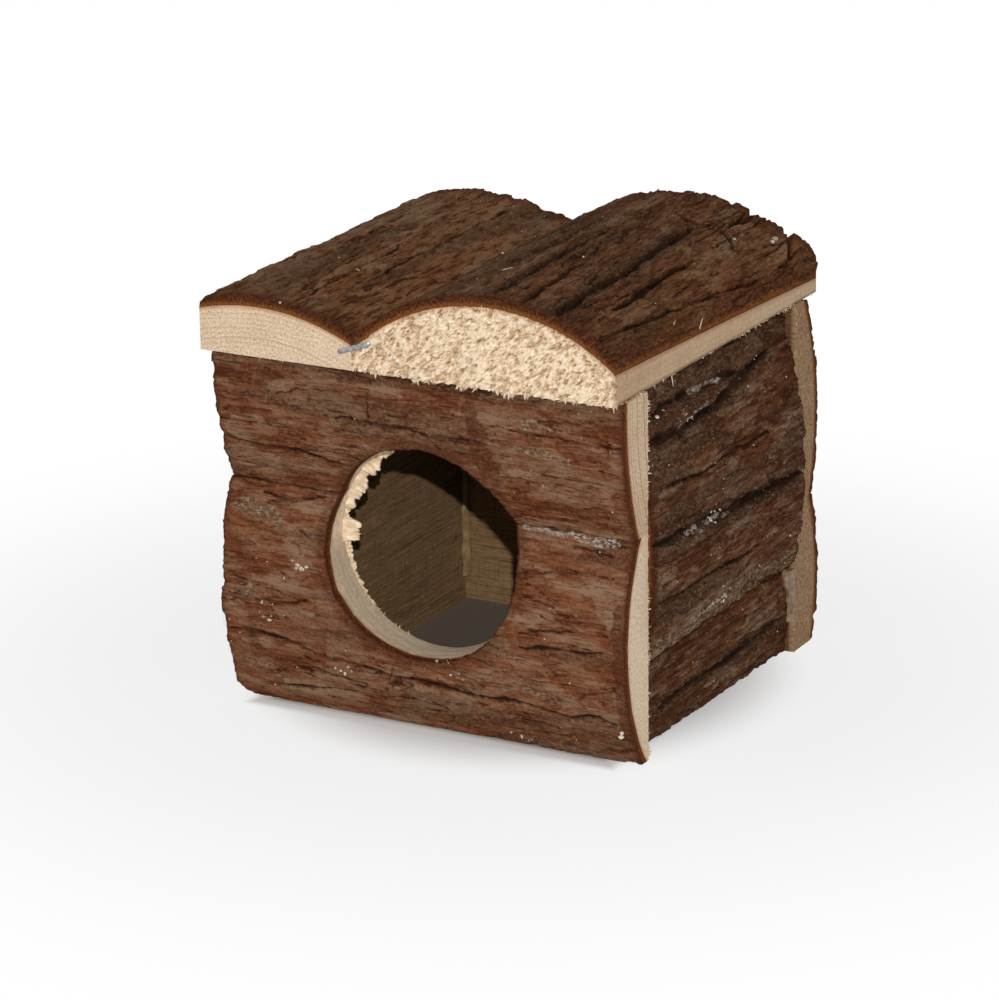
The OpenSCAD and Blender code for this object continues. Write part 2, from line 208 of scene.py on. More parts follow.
# %% Tables of the bark's marks
# Half width, depth and path of the main cracks
MAIN_CRACKS = {
    "front_lower": [
        (0.8, 0.9, [(-10.6, 105), (-10.6, 95), (-12, 87), (-13.9, 81), (-14.5, 73), (-16.1, 63), (-16.5, 45),
                    (-17.3, 37), (-16.9, 29), (-17.9, 20), (-18.6, 15), (-16.9, 8.5), (-18.4, 3)]),
        (0.6, 0.7, [(-2.2, 27), (-0.8, 13), (0.1, 0)]), (0.5, 0.5, [(15.1, 28), (17.1, 15), (17.7, 3)]),
        (0.7, 0.6, [(-1.5, 97), (-2.6, 92), (-0.1, 83)]),
        (0.8, 0.8, [(-25, 97), (-24.1, 85), (-22.7, 72), (-23.8, 69)]),
        (0.8, 0.6, [(23.8, 97), (23.2, 90), (24.9, 80)])],
    "front_upper": [
        (0.8, 0.8, [(-19, 106), (-20.3, 96), (-19.8, 86), (-21.3, 73)]),
        (0.6, 0.7, [(-9, 77), (-9.5, 64), (-10.1, 50), (-10.2, 39)]), (0.7, 0.6, [(-2, 65.1), (-8.7, 65.2)]),
        (0.5, 0.5, [(-15.5, 26), (-15.9, 16), (-16.6, 0)]), (0.5, 0.5, [(-6, 30), (-6.2, 15), (-7, 0)])],
    "right_upper": [
        (2.0, 1.4, [(26.8, 79), (26.3, 58), (26.6, 44), (29.4, 30), (32, 11)]),
        (0.8, 0.8, [(16.1, 75), (14.2, 54), (14.7, 37), (13.9, 18)]),
        (2.2, 1.5, [(3.9, 79), (2.4, 58), (0.8, 30), (-0.9, 0)]),
        (1.6, 1.0, [(32.4, 73), (33.4, 60), (32.3, 41), (31.6, 29)]),
        (1.0, 0.9, [(-10.7, 79), (-11.2, 56), (-12.5, 24)])],
    "right_lower": [
        (1.5, 1.1, [(-1.7, 68), (-0.5, 52), (-0.8, 36), (-0.8, 17), (-0.1, 0)]),
        (1.2, 0.8, [(13, 29), (7.5, 28.5)])],
    "roof_right": [
        (1.7, 1.6, [(15.7, 3.6), (15.1, 16), (14.3, 31), (14.6, 42), (13.7, 56), (13, 68.6), (12.6, 82)]),
        (1.4, 1.4, [(22.9, 20), (22.3, 30), (21.5, 41), (21, 61)]),
        (1.5, 1.4, [(-0.5, 4), (-0.8, 18), (-2.3, 33.5), (-2, 45.6), (-2.3, 54.4), (-2, 66)]),
        (1.3, 1.3, [(7.4, 3), (6.6, 17), (5.7, 26.6), (5.4, 40)]),
        (1.6, 1.5, [(-11.6, 30), (-10.4, 44), (-9.5, 53.5), (-9.2, 63.5), (-8.5, 78)]),
        (1.2, 1.4, [(4.7, 88.3), (10.3, 85.4), (17.9, 87.5), (22.1, 84), (24.1, 81.3)]),
        (1.3, 1.4, [(17.6, 90.5), (18.5, 101.7), (17.4, 108)]),
        (1.1, 1.2, [(34.3, 90), (33.4, 97), (30.5, 101), (27.4, 108)]),
        (0.8, 0.7, [(27, 5), (29, 25), (31.2, 51), (34.2, 80)]),
        (1.4, 1.3, [(-20.5, 16), (-20, 50), (-19, 98)])],
    "roof_left": [
        (0.9, 0.9, [(8.3, 4), (8.2, 20), (6.5, 55)]), (0.9, 0.9, [(13.2, 30), (12.6, 60), (12.4, 100)]),
        (0.8, 0.8, [(-4.5, 24), (-5.9, 62), (-6.2, 92)]), (0.7, 0.6, [(-11, 6), (-12, 50)]),
        (0.6, 0.6, [(5.5, 11), (2.1, 37), (4.2, 73)])],
}
# Half width and path of the chalky streaks, where resin and lichen have dried pale on the bark
CHALKY_STREAKS = {
    "front_lower": [(1.2, [(26.3, 31), (25.8, 17), (24.7, 5)])],
    "right_upper": [(0.9, [(-20.5, 58), (-20, 40)]), (0.8, [(27.2, 60), (28.2, 46)]),
                    (0.7, [(1.8, 62), (0.8, 42)]), (0.5, [(33, 52), (32, 36)])],
}
# Half width and path of the bands where paler bark shows, and of those that are worn red
PALE_BANDS = {
    "right_upper": [(3.4, [(-22.5, 79), (-22, 50), (-21, 24), (-21.5, 4)]), (1.6, [(3.2, 72), (1.5, 40)])],
    "front_lower": [(3.0, [(20, 101), (18, 92)]), (2.0, [(-13, 25), (-14, 18)]),
                    (2.4, [(0.3, 98.3), (-3.5, 103)]), (1.6, [(-10.4, 43), (-15.5, 41)])],
    "front_upper": [(0.9, [(-10.1, 28), (-10.9, 14)]), (0.7, [(-3.7, 24), (-4.5, 14)])],
}
RED_BANDS = {
    "front_upper": [(2.6, [(2, 38.5), (-8, 37.5)]), (3.6, [(-8, 37), (-19, 34.5)])],
    "front_lower": [(1.5, [(12, 1.5), (-22, 1.5)])],
}
# Middle across and along, half sizes and rise of the plates that stand proud
PROUD_PLATES = {"roof_right": (35.5, 106, 8.5, 12, 1.2)}
print("main cracks:", {name: len(cracks) for name, cracks in MAIN_CRACKS.items()})

# %% [markdown]
# ## Furrows of the walls that don't show
# The rear and left walls are of the same bark, but the photograph doesn't show their outsides.
# Furrows could be drawn for them by chance here, but the CAD has already cut some into their bark.
# They are read back from there: the lowest points of a furrow's V are the ends of its keel, and the
# furrow runs out some way beyond them.

# %% Furrows from the CAD
# How far apart two furrows' keels are at least, the half width given to a furrow, how far it runs as a
# multiple of its keel, and how far a keel's points are from the wood, the bark's surface and the ends
FURROW_APART = 3.0
FURROW_HALF = 1.3
FURROW_RUN = 1.9
KEEL_OVER_WOOD = 0.3
KEEL_UNDER_BARK = 0.35
KEEL_FROM_ENDS = 0.5


def cad_furrows(slab):
    """Half width, depth and path of the furrows in a slab's CAD bark."""
    u, y, lift = slab.unroll(slab.lay_down(node_points(slab.name + "_bark")))[:3]
    keel = (lift > KEEL_OVER_WOOD) & (lift < BARK - KEEL_UNDER_BARK)
    keel = np.flatnonzero(keel & (y > KEEL_FROM_ENDS) & (y < slab.length - KEEL_FROM_ENDS))
    keel = keel[np.argsort(u[keel])]
    found = []
    for group in np.split(keel, np.flatnonzero(np.diff(u[keel]) > FURROW_APART) + 1):
        tips = (group[np.argmin(y[group])], group[np.argmax(y[group])])
        ends = [np.array([u[at], y[at]]) for at in tips]
        middle = (ends[0] + ends[1]) / 2
        path = [tuple(middle + share * FURROW_RUN * (ends[1] - middle)) for share in (-1, -0.4, 0.4, 1)]
        found.append((FURROW_HALF, BARK - lift[group].mean(), path))
    return found


unseen = [name for name in SLABS if name not in MAIN_CRACKS]
MAIN_CRACKS.update({name: cad_furrows(slabs[name]) for name in unseen})
print("furrows from the CAD:", {name: len(MAIN_CRACKS[name]) for name in unseen})

# %% [markdown]
# ## The relief of the bark
# The bark is old softwood bark in three layers. Underneath is reddish, fibrous cork. On it sit flat
# grey-brown scales with sharp outlines, what is left of the outer skin, and long cracks along the
# grain open it, with weathered grey beside the widest. The roof and the side walls are the coarsest,
# and the front wall is smoother. A sculpted mesh would show the same, but could not be asked for its
# height again, so all of it is one height field over the unrolled log. It lies about the CAD's
# surface and is held between a lowest and a highest value, so that the house keeps the CAD's size.

# %% Bark relief
# Sway of the grain; pitch, run and depth of the cracks; height of the layers; noise level at which the
# scales begin; and roughness of the fibres
BARK_LOOKS = {
    "roof": {"sway": 5, "pitch": 5.0, "run": 40, "crack": 0.5, "layers": 0.7, "scales": 0.53, "rough": 1.2},
    "front": {"sway": 5, "pitch": 6.0, "run": 34, "crack": 0.35, "layers": 0.7, "scales": 0.51, "rough": 1.0},
    "right": {"sway": 7, "pitch": 5.0, "run": 36, "crack": 0.55, "layers": 0.9, "scales": 0.53, "rough": 1.4},
}
BARK_LOOKS["left"] = BARK_LOOKS["right"]
BARK_LOOKS["rear"] = BARK_LOOKS["front"]
# How much of their fine cracks the calmer slabs have
CALM_SLABS = {"roof_left": 0.35, "front_upper": 0.85, "front_lower": 0.9, "right_lower": 0.6,
              "right_upper": 0.7}
DEEPEST = -1.8
HIGHEST = 0.5
LAYERS = 6
# Half width from which a crack has weathered bark beside it
BROAD_CRACK = 1.4


def to_path(u, y, path):
    """How far points lie from a path of straight runs."""
    far = np.full(np.shape(u), 1e9)
    for (u0, y0), (u1, y1) in zip(path, path[1:]):
        run = np.array([u1 - u0, y1 - y0])
        share = np.clip(((u - u0) * run[0] + (y - y0) * run[1]) / (run @ run), 0, 1)
        far = np.minimum(far, np.hypot(u - u0 - run[0] * share, y - y0 - run[1] * share))
    return far


def contour(u, y, across, along, level, seed, octaves=4):
    """About how far, in mm across the grain, a point lies from where a noise field passes a level."""
    here = fbm(u / across, y / along, seed, octaves)
    slope = np.abs(fbm(u / across + 0.08, y / along, seed, octaves) - here) / (0.08 * across)
    return (here - level) / np.maximum(slope, 0.08 / across)


def main_cracks(slab, u, y):
    """Depth of the placed cracks, their dark core, and the weathered bark beside the broad ones."""
    seed = 1000 * slab.number + 200
    wander = 1.6 * uneven(u / 3, y / 5, seed, 4) + 0.5 * uneven(u / 0.9, y / 1.6, seed + 5, 2)
    swell = 0.4 + 1.2 * fbm(u / 2.5, y / 6, seed + 10, 3)
    depth = 0.0 * u
    core = 0.0 * u
    beside = 0.0 * u
    for half, deep, path in MAIN_CRACKS[slab.name]:
        far = to_path(u + wander, y, path)
        from_ends = np.minimum(*(np.hypot(u - end[0], y - end[1]) for end in (path[0], path[-1])))
        width = half * swell * (0.35 + 0.65 * smooth(0, 7, from_ends))
        depth = np.maximum(depth, deep * (1 - smooth(0.2 * width, width, far)))
        core = np.maximum(core, 1 - smooth(0.05 + 0.12 * width, 0.2 + 0.4 * width, far))
        if half > BROAD_CRACK:
            beside = np.maximum(beside, 1 - smooth(1.0 * half, 2.2 * half, far))
    core = core * (0.35 + 0.65 * smooth(0.4, 0.54, fbm(u / 2.5, y / 6, seed + 15, 3)))
    return depth, core, beside


def chalky_streaks(slab, u, y):
    seed = 1000 * slab.number + 250
    ragged = 1.8 * uneven(u / 1.6, y / 3, seed, 4)
    chalk = 0.0 * u
    for half, path in CHALKY_STREAKS.get(slab.name, ()):
        far = to_path(u, y, path) + ragged
        chalk = np.maximum(chalk, 1 - smooth(0.75 * half, 0.95 * half, far))
    return chalk * smooth(0.36, 0.46, fbm(u / 2.2, y / 5, seed + 5, 3))


def proud_plate(slab, u, y):
    if slab.name not in PROUD_PLATES:
        return 0.0 * (u + y)
    middle_u, middle_y, half_u, half_y, rise = PROUD_PLATES[slab.name]
    far = np.hypot((u - middle_u) / half_u, (y - middle_y) / half_y)
    ragged = 0.25 * uneven(u / 2.5, y / 3, 1000 * slab.number + 290, 3)
    return rise * smooth(1.0, 0.75, far + ragged)


def bands(table, slab, u, y):
    """Ragged bands along the paths that a table gives for a slab."""
    ragged = 3.0 * uneven(u / 2.5, y / 5, 1000 * slab.number + 270, 4)
    found = 0.0 * u
    for half, path in table.get(slab.name, ()):
        found = np.maximum(found, 1 - smooth(0.6 * half, half, to_path(u, y, path) + ragged))
    return found


def bark_relief(slab, u, y):
    """Height of the bark over its plain surface, and the masks that its finish needs."""
    look = BARK_LOOKS[slab.wall]
    seed = 1000 * slab.number
    across = u + look["sway"] * uneven(u / 30, y / 60, seed, 2)
    across = across + 1.6 * uneven(u / 4, y / 12, seed + 10, 3)
    across = across + 0.8 * uneven(u / 1.0, y / 1.8, seed + 15, 3)
    in_cracks = smooth(0.49, 0.55, fbm(u / 6, y / 20, seed + 30, 3))
    from_crack = np.abs(contour(across, y, look["pitch"], look["run"], 0.5, seed + 20))
    in_hairs = smooth(0.46, 0.52, fbm(u / 4, y / 9, seed + 38, 3))
    from_hair = np.abs(contour(across, y, 2.6, 13, 0.5, seed + 35))
    calm = CALM_SLABS.get(slab.name, 1.0)
    long_crack = calm * (1 - smooth(0.12, 0.4, from_crack)) * in_cracks
    hair_crack = calm * (1 - smooth(0.08, 0.28, from_hair)) * in_hairs
    level = LAYERS * fbm(across / 4.5, y / 26, seed + 50, 5)
    rise = level - np.floor(level)
    step = (np.floor(level) + smooth(0.75, 1.0, rise)) / LAYERS
    in_scale = contour(across, y, 5.0, 12, look["scales"], seed + 60, 5)
    scales = smooth(0.0, 0.3, in_scale)
    # Just outside each scale: a shallow groove, and painted shadow under the scale's lip
    outline = smooth(-0.7, -0.25, in_scale) * (1 - smooth(-0.2, 0.1, in_scale))
    weather = smooth(0.54, 0.64, fbm(across / 7, y / 55, seed + 68, 3)) * look["rough"] / 1.4
    strands = 0.3 * uneven(u / 0.8, y / 7, seed + 70, 3) + 0.26 * uneven(u / 0.9, y / 1.3, seed + 80, 3)
    placed, core, beside = main_cracks(slab, u, y)
    chalk = chalky_streaks(slab, u, y)
    weather = np.maximum(weather, beside)
    red = bands(RED_BANDS, slab, u, y)
    grit = (0.6 * weather + 0.9 * red) * uneven(u / 1.1, y / 1.8, seed + 85, 3)
    height = 0.02 + 0.5 * uneven(u / 14, y / 40, seed + 90, 2) + look["layers"] * (step - 0.46)
    height = height + 0.24 * scales - 0.12 * outline + look["rough"] * strands + grit + 0.15 * chalk
    height = height - look["crack"] * long_crack - 0.25 * hair_crack - placed
    opened = np.maximum(np.maximum(0.9 * long_crack, 0.8 * hair_crack), np.maximum(core, 0.45 * outline))
    masks = {"scales": scales, "opened": opened * (1 - 0.6 * chalk), "weather": weather, "chalk": chalk,
             "pale": bands(PALE_BANDS, slab, u, y), "furrow": smooth(0.35, 1.1, placed) * (1 - 0.7 * chalk)}
    return np.clip(height, DEEPEST, HIGHEST) + proud_plate(slab, u, y), masks


test_u, test_y = np.meshgrid(np.arange(-30, 30, 1.0), np.arange(0, 100, 1.0))
test_height = bark_relief(slabs["roof_right"], test_u, test_y)[0]
print("roof bark height in mm:", np.percentile(test_height, [0, 25, 50, 75, 100]).round(2))

# %% [markdown]
# ## Sewing meshes together
# A bark shell is a fine grid outside, where it shows, and a coarse one against the wood. A slab of
# wood is the other way round: fine on its sawn ends and coarse along its length. Rows of different
# counts have to be joined without a hole, so that each piece is a closed solid. One small class
# collects points and faces, and its lace method triangulates between a fine row and a coarse one.

# %% Patchwork for closed pieces
class Patchwork:
    """Points and faces of one piece while it is being put together."""

    def __init__(self):
        self.points = []
        self.faces = []
        self.count = 0

    def add(self, points):
        index = np.arange(self.count, self.count + points[..., 0].size).reshape(points.shape[:-1])
        self.points.append(points.reshape(-1, 3))
        self.count += index.size
        return index

    def sheet(self, index):
        corners = (index[:-1, :-1], index[1:, :-1], index[1:, 1:], index[:-1, 1:])
        self.faces += np.stack([corner.ravel() for corner in corners], 1).tolist()

    def rings(self, loops):
        closed = np.array([np.append(loop, loop[0]) for loop in loops])
        self.sheet(closed)

    def lace(self, one, two):
        i = 0
        j = 0
        while i < len(one) - 1 or j < len(two) - 1:
            next_i = (i + 1) / (len(one) - 1)
            next_j = (j + 1) / (len(two) - 1)
            if j == len(two) - 1 or (i < len(one) - 1 and next_i <= next_j):
                self.faces.append([int(one[i]), int(one[i + 1]), int(two[j])])
                i += 1
            else:
                self.faces.append([int(one[i]), int(two[j + 1]), int(two[j])])
                j += 1

    def tube(self, loops):
        """Loops joined each to the next, and closed at both ends."""
        self.rings(loops)
        self.faces += [loops[0].tolist(), loops[-1].tolist()]

    def piece(self, name, to_world=None, sharp=180):
        points = np.concatenate(self.points)
        if to_world:
            points = to_world(points)
        mesh = bpy.data.meshes.new(name)
        mesh.from_pydata((points * MM).tolist(), [], self.faces)
        work = bmesh.new()
        work.from_mesh(mesh)
        bmesh.ops.recalc_face_normals(work, faces=work.faces)
        work.to_mesh(mesh)
        work.free()
        mesh.shade_smooth()
        if sharp < 180:
            mesh.set_sharp_from_angle(angle=math.radians(sharp))
        return new_object(name, mesh)


def new_object(name, data):
    made = bpy.data.objects.new(name, data)
    bpy.context.scene.collection.objects.link(made)
    return made


def bake_modifiers(piece):
    """Leaves a piece with the mesh that its modifiers give it."""
    bpy.context.view_layer.update()
    seen = piece.evaluated_get(bpy.context.evaluated_depsgraph_get())
    baked = bpy.data.meshes.new_from_object(seen)
    piece.modifiers.clear()
    piece.data = baked


def border(grid):
    return [grid[0, :], grid[:, -1], grid[-1, ::-1], grid[::-1, 0]]


def one_loop(sides):
    return np.concatenate([side[:-1] for side in sides])


def four_sides(loop, counts):
    closed = np.append(loop, loop[0])
    starts = np.cumsum([0] + [count - 1 for count in counts])
    return [closed[start:start + count] for start, count in zip(starts, counts)]


# Which side of a slab's far end is worn round, and how far: the roof's right rear, the front's lower left
WORN_CORNERS = {"roof_right": (1, 2.6), "front_lower": (-1, 4.0)}


def wear_corner(slab, points):
    if slab.name not in WORN_CORNERS:
        return points
    side, worn_r = WORN_CORNERS[slab.name]
    edge = slab.ends[0, 4 if side > 0 else 3]
    seat = np.array([edge - side * worn_r, slab.length - worn_r])
    off = (points[..., :2] - seat) * (side, 1)
    past = np.maximum(off, 0)
    far = np.maximum(np.hypot(past[..., 0], past[..., 1]), 1e-9)
    pull = np.where(np.all(off > 0, -1), np.minimum(1, worn_r / far), 1)
    worn = points.copy()
    worn[..., :2] += past * (pull - 1)[..., None] * (side, 1)
    return worn


print("patchwork ready")

# %% [markdown]
# ## The bark shells
# On the bench each slab's bark is a curved plate about two millimetres thick, still bonded to its
# wood. A plane with a displace modifier would have no thickness where the saw cut it, so each
# shell is a real closed solid: the furrowed outside, cut edges that crumble a little, and a plain
# inside that lies on the log. The rear ends of the roof are broken rather than cut, so their rim
# is drawn back in notches of a few millimetres.

# %% Grow the bark shells
BARK_STEPS = {"front": 0.34, "right": 0.34, "roof": 0.34, "rear": 0.5, "left": 0.5}
RIM_ROWS = 4
# How far the broken ends are drawn back at most, by slab and end, and how far the cut ones are
BROKEN_ENDS = {("roof_left", 1): 1.6, ("roof_right", 1): 1.8, ("front_lower", 1): 0.7,
               ("front_upper", 1): 0.7}
CUT_ENDS = 0.3
# Place across, half width and depth of the notches broken out of the roof's rear edge
REAR_NOTCHES = {"roof_right": [(17.6, 1.6, 2.6), (2.5, 1.2, 1.4), (26.8, 0.9, 1.6)],
                "roof_left": [(9, 1.5, 1.6)]}
# Where across a slab its ends become whole again, towards the proud plate
WHOLE_FROM = (24, 30)
# Rows and columns of the coarse inside, which stays this share of the shell away from its rim
UNDER_GRID = (24, 16)
UNDER_MARGIN = 0.03


def draw_back(slab, end, u):
    reach = BROKEN_ENDS.get((slab.name, end), CUT_ENDS)
    chips = fbm(u / 5, u * 0 + 3.7 * end, 1000 * slab.number + 300 + end, 5)
    drawn = reach * smooth(0.35, 0.75, chips) * (1 - 0.8 * smooth(*WHOLE_FROM, u))
    for middle, half, deep in REAR_NOTCHES.get(slab.name, ()) if end else ():
        drawn = np.maximum(drawn, deep * (1 - smooth(0.3 * half, half, np.abs(u - middle))))
    return drawn


def crumble(slab, u, y, to_edge):
    chips = fbm(u / 3, y / 3, 1000 * slab.number + 310, 4)
    return -0.6 * smooth(0.45, 0.75, chips) * np.exp(-to_edge / 0.6)


def bark_shell(slab):
    crest, _, radius, low, high = slab.at(0.5)
    reach = radius + BARK
    width = reach * (math.asin((high - crest) / reach) - math.asin((low - crest) / reach))
    step = BARK_STEPS[slab.wall]
    share = np.linspace(0, 1, int(slab.length / step) + 1)[:, None]
    turn = np.linspace(0, 1, int(width / step) + 1)[None, :]

    def surface(share, turn, lift, raise_by=0.0, draw=1.0):
        crest, centre, radius, low, high = slab.at(share)
        reach = radius + lift
        start = np.arcsin((low - crest) / reach)
        angle = start + (np.arcsin((high - crest) / reach) - start) * turn
        u = angle * (radius + BARK)
        y = share * slab.length + 0 * turn
        proud = proud_plate(slab, u, y) * lift / BARK
        x = np.clip(crest + (reach + raise_by) * np.sin(angle), low, high + 0.7 * proud)
        z = centre + (reach + raise_by) * np.cos(angle)
        worn = y + draw * draw_back(slab, 0, u) * smooth(0.06, 0, share)
        worn = worn + (0.6 * proud - draw * draw_back(slab, 1, u)) * smooth(0.94, 1, share)
        return wear_corner(slab, np.stack([x, worn, z], -1)), u, y

    u, y = surface(share, turn, BARK)[1:]
    height = bark_relief(slab, u, y)[0]
    to_edge = np.minimum(np.minimum(u - u[:, :1], u[:, -1:] - u), np.minimum(y, slab.length - y))
    height = np.maximum(height + crumble(slab, u, y, to_edge), DEEPEST)
    outside = surface(share, turn, BARK, height)[0]
    under = surface(share, turn, 0.0, draw=0.35)[0]
    work = Patchwork()
    grid = work.add(outside)
    work.sheet(grid)
    counts = [len(side) for side in border(grid)]
    rim = [one_loop(border(grid))]
    top = one_loop(border(outside))
    foot = one_loop(border(under))
    for row in range(1, RIM_ROWS + 1):
        mix = row / RIM_ROWS
        rim.append(work.add(top * (1 - mix) + foot * mix))
    work.rings(rim)
    rows, columns = (np.linspace(UNDER_MARGIN, 1 - UNDER_MARGIN, count) for count in UNDER_GRID)
    coarse = work.add(surface(rows[:, None], columns[None, :], 0.0)[0])
    work.sheet(coarse)
    for fine_side, coarse_side in zip(four_sides(rim[-1], counts), border(coarse)):
        work.lace(fine_side, coarse_side)
    return work.piece(slab.name + "_bark_shell", slab.stand_up)


bark_shells = {name: bark_shell(slab) for name, slab in slabs.items()}
print("bark vertices:", sum(len(shell.data.vertices) for shell in bark_shells.values()))

# %% [markdown]
# ## The slabs of wood
# Under the bark each slab is pale softwood, sawn flat inside and along its edges. The saw leaves
# fine ridges on the ends, and on the right roof slab the front end is not cut clean at all: a
# blunt blade has pulled the fibres into a woolly surface with pits. The ends therefore get a fine
# grid that is pushed in and out, and the long faces a coarser one with a slight saw ripple.

# %% Saw the slabs
END_STEP = 0.45
WOOLLY_STEP = 0.32
BODY_STEP = 2.0
FACE_STEP = 3.0
END_SETBACK = 1.6
# The slab and the end that the blunt blade left woolly
WOOLLY_END = ("roof_right", 0)


def end_relief(slab, end, x, z):
    seed = 1000 * slab.number + 400 + 50 * end
    height = 0.14 * uneven(x / 0.8, z / 5, seed) + 0.16 * uneven(x / 0.7, z / 0.7, seed + 5, 2)
    if (slab.name, end) == WOOLLY_END:
        along = 0.8 * x + 0.6 * z
        aside = 0.8 * z - 0.6 * x
        clumps = fbm(along / 1.5, aside / 0.75, seed + 10, 3)
        pits = smooth(0.62, 0.7, fbm(along / 1.5, aside / 0.8, seed + 20, 2))
        height = height + 1.0 * (clumps - 0.52) - 0.9 * pits
    return np.clip(height - 0.05, -1.4, 0.45)


def slab_of_wood(slab):
    work = Patchwork()
    ripple = np.random.default_rng(500 + slab.number)
    _, centre, radius, low, high = slab.at(np.array([0.0, 1.0]))
    width = (high - low).max()
    thick = (centre + radius).max()
    step = WOOLLY_STEP if slab.name == WOOLLY_END[0] else END_STEP
    columns = int(width / step) + 2
    rows = max(int(thick / step), 8)

    def section(share, across, up):
        crest, centre, radius, low, high = slab.at(share)
        x = low + (high - low) * across
        return x, up * (centre + np.sqrt(radius ** 2 - (x - crest) ** 2))

    caps = []
    for end in (0, 1):
        across, up = np.meshgrid(np.linspace(0, 1, columns), np.linspace(0, 1, rows))
        x, z = section(float(end), across, up)
        depth = end_relief(slab, end, x, z)
        y = end * slab.length + (2 * end - 1) * depth
        caps.append(work.add(wear_corner(slab, np.stack([x, y, z], -1))))
        work.sheet(caps[-1])
    across = np.linspace(0, 1, max(int(width / FACE_STEP), 4) + 1)
    up = np.linspace(0, 1, max(int(thick / FACE_STEP), 3) + 1)
    stations = np.linspace(END_SETBACK, slab.length - END_SETBACK, int(slab.length / BODY_STEP))
    rings = []
    for y in stations:
        share = y / slab.length
        mark = 0.12 * (ripple.random(3) - 0.5)
        face_x, face_z = section(share, across, 0 * across)
        high_x, high_z = section(share, 0 * up + 1, up)
        arc_x, arc_z = section(share, across[::-1], 0 * across + 1)
        low_x, low_z = section(share, 0 * up, up[::-1])
        sides = [np.stack([face_x, 0 * face_x + y, face_z + mark[0] * (across > 0) * (across < 1)], -1),
                 np.stack([high_x + mark[1] - 0.06, 0 * up + y, high_z], -1),
                 np.stack([arc_x, 0 * arc_x + y, arc_z], -1),
                 np.stack([low_x + mark[2] + 0.06, 0 * up + y, low_z], -1)]
        rings.append(work.add(wear_corner(slab, one_loop(sides))))
    work.rings(rings)
    counts = [len(across), len(up), len(across), len(up)]
    for cap, ring in ((caps[0], rings[0]), (caps[1], rings[-1])):
        for fine_side, coarse_side in zip(border(cap), four_sides(ring, counts)):
            work.lace(fine_side, coarse_side)
    return work.piece(slab.name + "_wood", slab.stand_up, sharp=50)


wood_slabs = {name: slab_of_wood(slab) for name, slab in slabs.items()}
print("wood vertices:", sum(len(slab.data.vertices) for slab in wood_slabs.values()))

# %% [markdown]
# ## Boring the entrance
# The round entrance is bored through the front wall after its two slabs are up, so it crosses the
# seam and cuts two slabs and their bark at once. The hole saw leaves faint rings on the wall of the
# hole. Where it broke out at the upper left inside, it tore chips off the back of the wood. One
# rough cutter, with those chips modelled as extra width near the inside face, is taken from all
# four pieces with an exact boolean, so that the tears run on from slab to slab.

# %% Cut the entrance
ENTRANCE_R = 25.0
ENTRANCE_Z = 44.2
INSIDE_Y = -39.5
CUTTER_FROM = -58.0
CUTTER_PAST = 2.5
TORN_FROM = math.radians(118)
TORN_TO = math.radians(192)


def round_entrance(radius, y, angle):
    return np.stack([radius * np.cos(angle), y + 0 * angle, ENTRANCE_Z + radius * np.sin(angle)], -1)


def entrance_cutter():
    angle = np.linspace(0, 2 * math.pi, 321)[:-1][None, :]
    y = np.linspace(CUTTER_FROM, INSIDE_Y + CUTTER_PAST, 60)[:, None]
    along = angle * ENTRANCE_R
    rough = 0.25 * uneven(along / 3.5 + 0 * y, y / 0.9 + 0 * along, 601, 3)
    crumbled = smooth(0.4, 0.75, fbm(along / 2.2 + 0 * y, y / 4 + 0 * along, 611, 3))
    rim = 0.7 * crumbled * smooth(-46, -52, y)
    torn = smooth(TORN_FROM - 0.1, TORN_FROM + 0.15, angle) * smooth(TORN_TO + 0.05, TORN_TO - 0.2, angle)
    chips = smooth(0.42, 0.58, fbm(along / 4.2, along * 0 + 0.5, 621, 4))
    deep = (0.5 + 1.6 * fbm(along / 2.0, along * 0 + 2.5, 631, 4) * chips) * torn + 0.4
    wide = 0.3 + 0.5 * chips * torn
    tear = wide * smooth(INSIDE_Y - deep, INSIDE_Y - 0.55 * deep, y)
    work = Patchwork()
    work.tube(work.add(round_entrance(ENTRANCE_R + rough + rim + tear, y, angle)))
    return work.piece("entrance_cutter")


def bore(piece, cutter):
    cut = piece.modifiers.new("entrance", "BOOLEAN")
    cut.operation = "DIFFERENCE"
    cut.solver = "EXACT"
    cut.object = cutter
    bake_modifiers(piece)


cutter = entrance_cutter()
for name in ("front_lower", "front_upper"):
    bore(bark_shells[name], cutter)
    bore(wood_slabs[name], cutter)
    print(name, "bored:", len(bark_shells[name].data.vertices), len(wood_slabs[name].data.vertices))
bpy.data.objects.remove(cutter)

# %% [markdown]
# ## Telling the shaders where they are
# The finishes need to know where on the log each point lies: how deep in the bark, on a flake or in
# a furrow, on a fresh cut, on end grain or in the bored hole. Baking this to images would tie it to
# UV maps, so it is written on the vertices as attributes. They are worked out from the final
# positions, after the boring, so the new vertices on the hole's rim have them too.

# %% Write attributes on the vertices
def write(piece, name, values):
    kind = "FLOAT_VECTOR" if values.ndim == 2 else "FLOAT"
    layer = piece.data.attributes.new(name, kind, "POINT")
    layer.data.foreach_set("vector" if values.ndim == 2 else "value", values.astype(np.float32).ravel())


def in_entrance(slab, world, reach):
    if slab.wall != "front":
        return np.zeros(len(world))
    from_axis = np.hypot(world[:, 0], world[:, 2] - ENTRANCE_Z)
    return 1 - smooth(ENTRANCE_R + 0.4 * reach, ENTRANCE_R + reach, from_axis)


# How far fresh cork reaches in from the roof's side, and how far the rear wall's darkened ends do, darkened
# partly by age and partly as painted shade
RED_EDGE = 5.0
OVERHANG = 16.0
# How far in from the inner faces their darker colour reaches: partly the wood's own tone, partly painted
# shade of the dim inside
INSIDE_SKIN = 0.5
# How clear the growth rings are on a slab's ends, and how woolly its near end looks
RINGED = {"front_upper": 1.0, "front_lower": 0.2, "roof_left": 0.6}
PLAIN_RINGS = 0.35
WOOLLY = {"roof_right": 1.0, "front_lower": 0.6, "roof_left": 0.16}
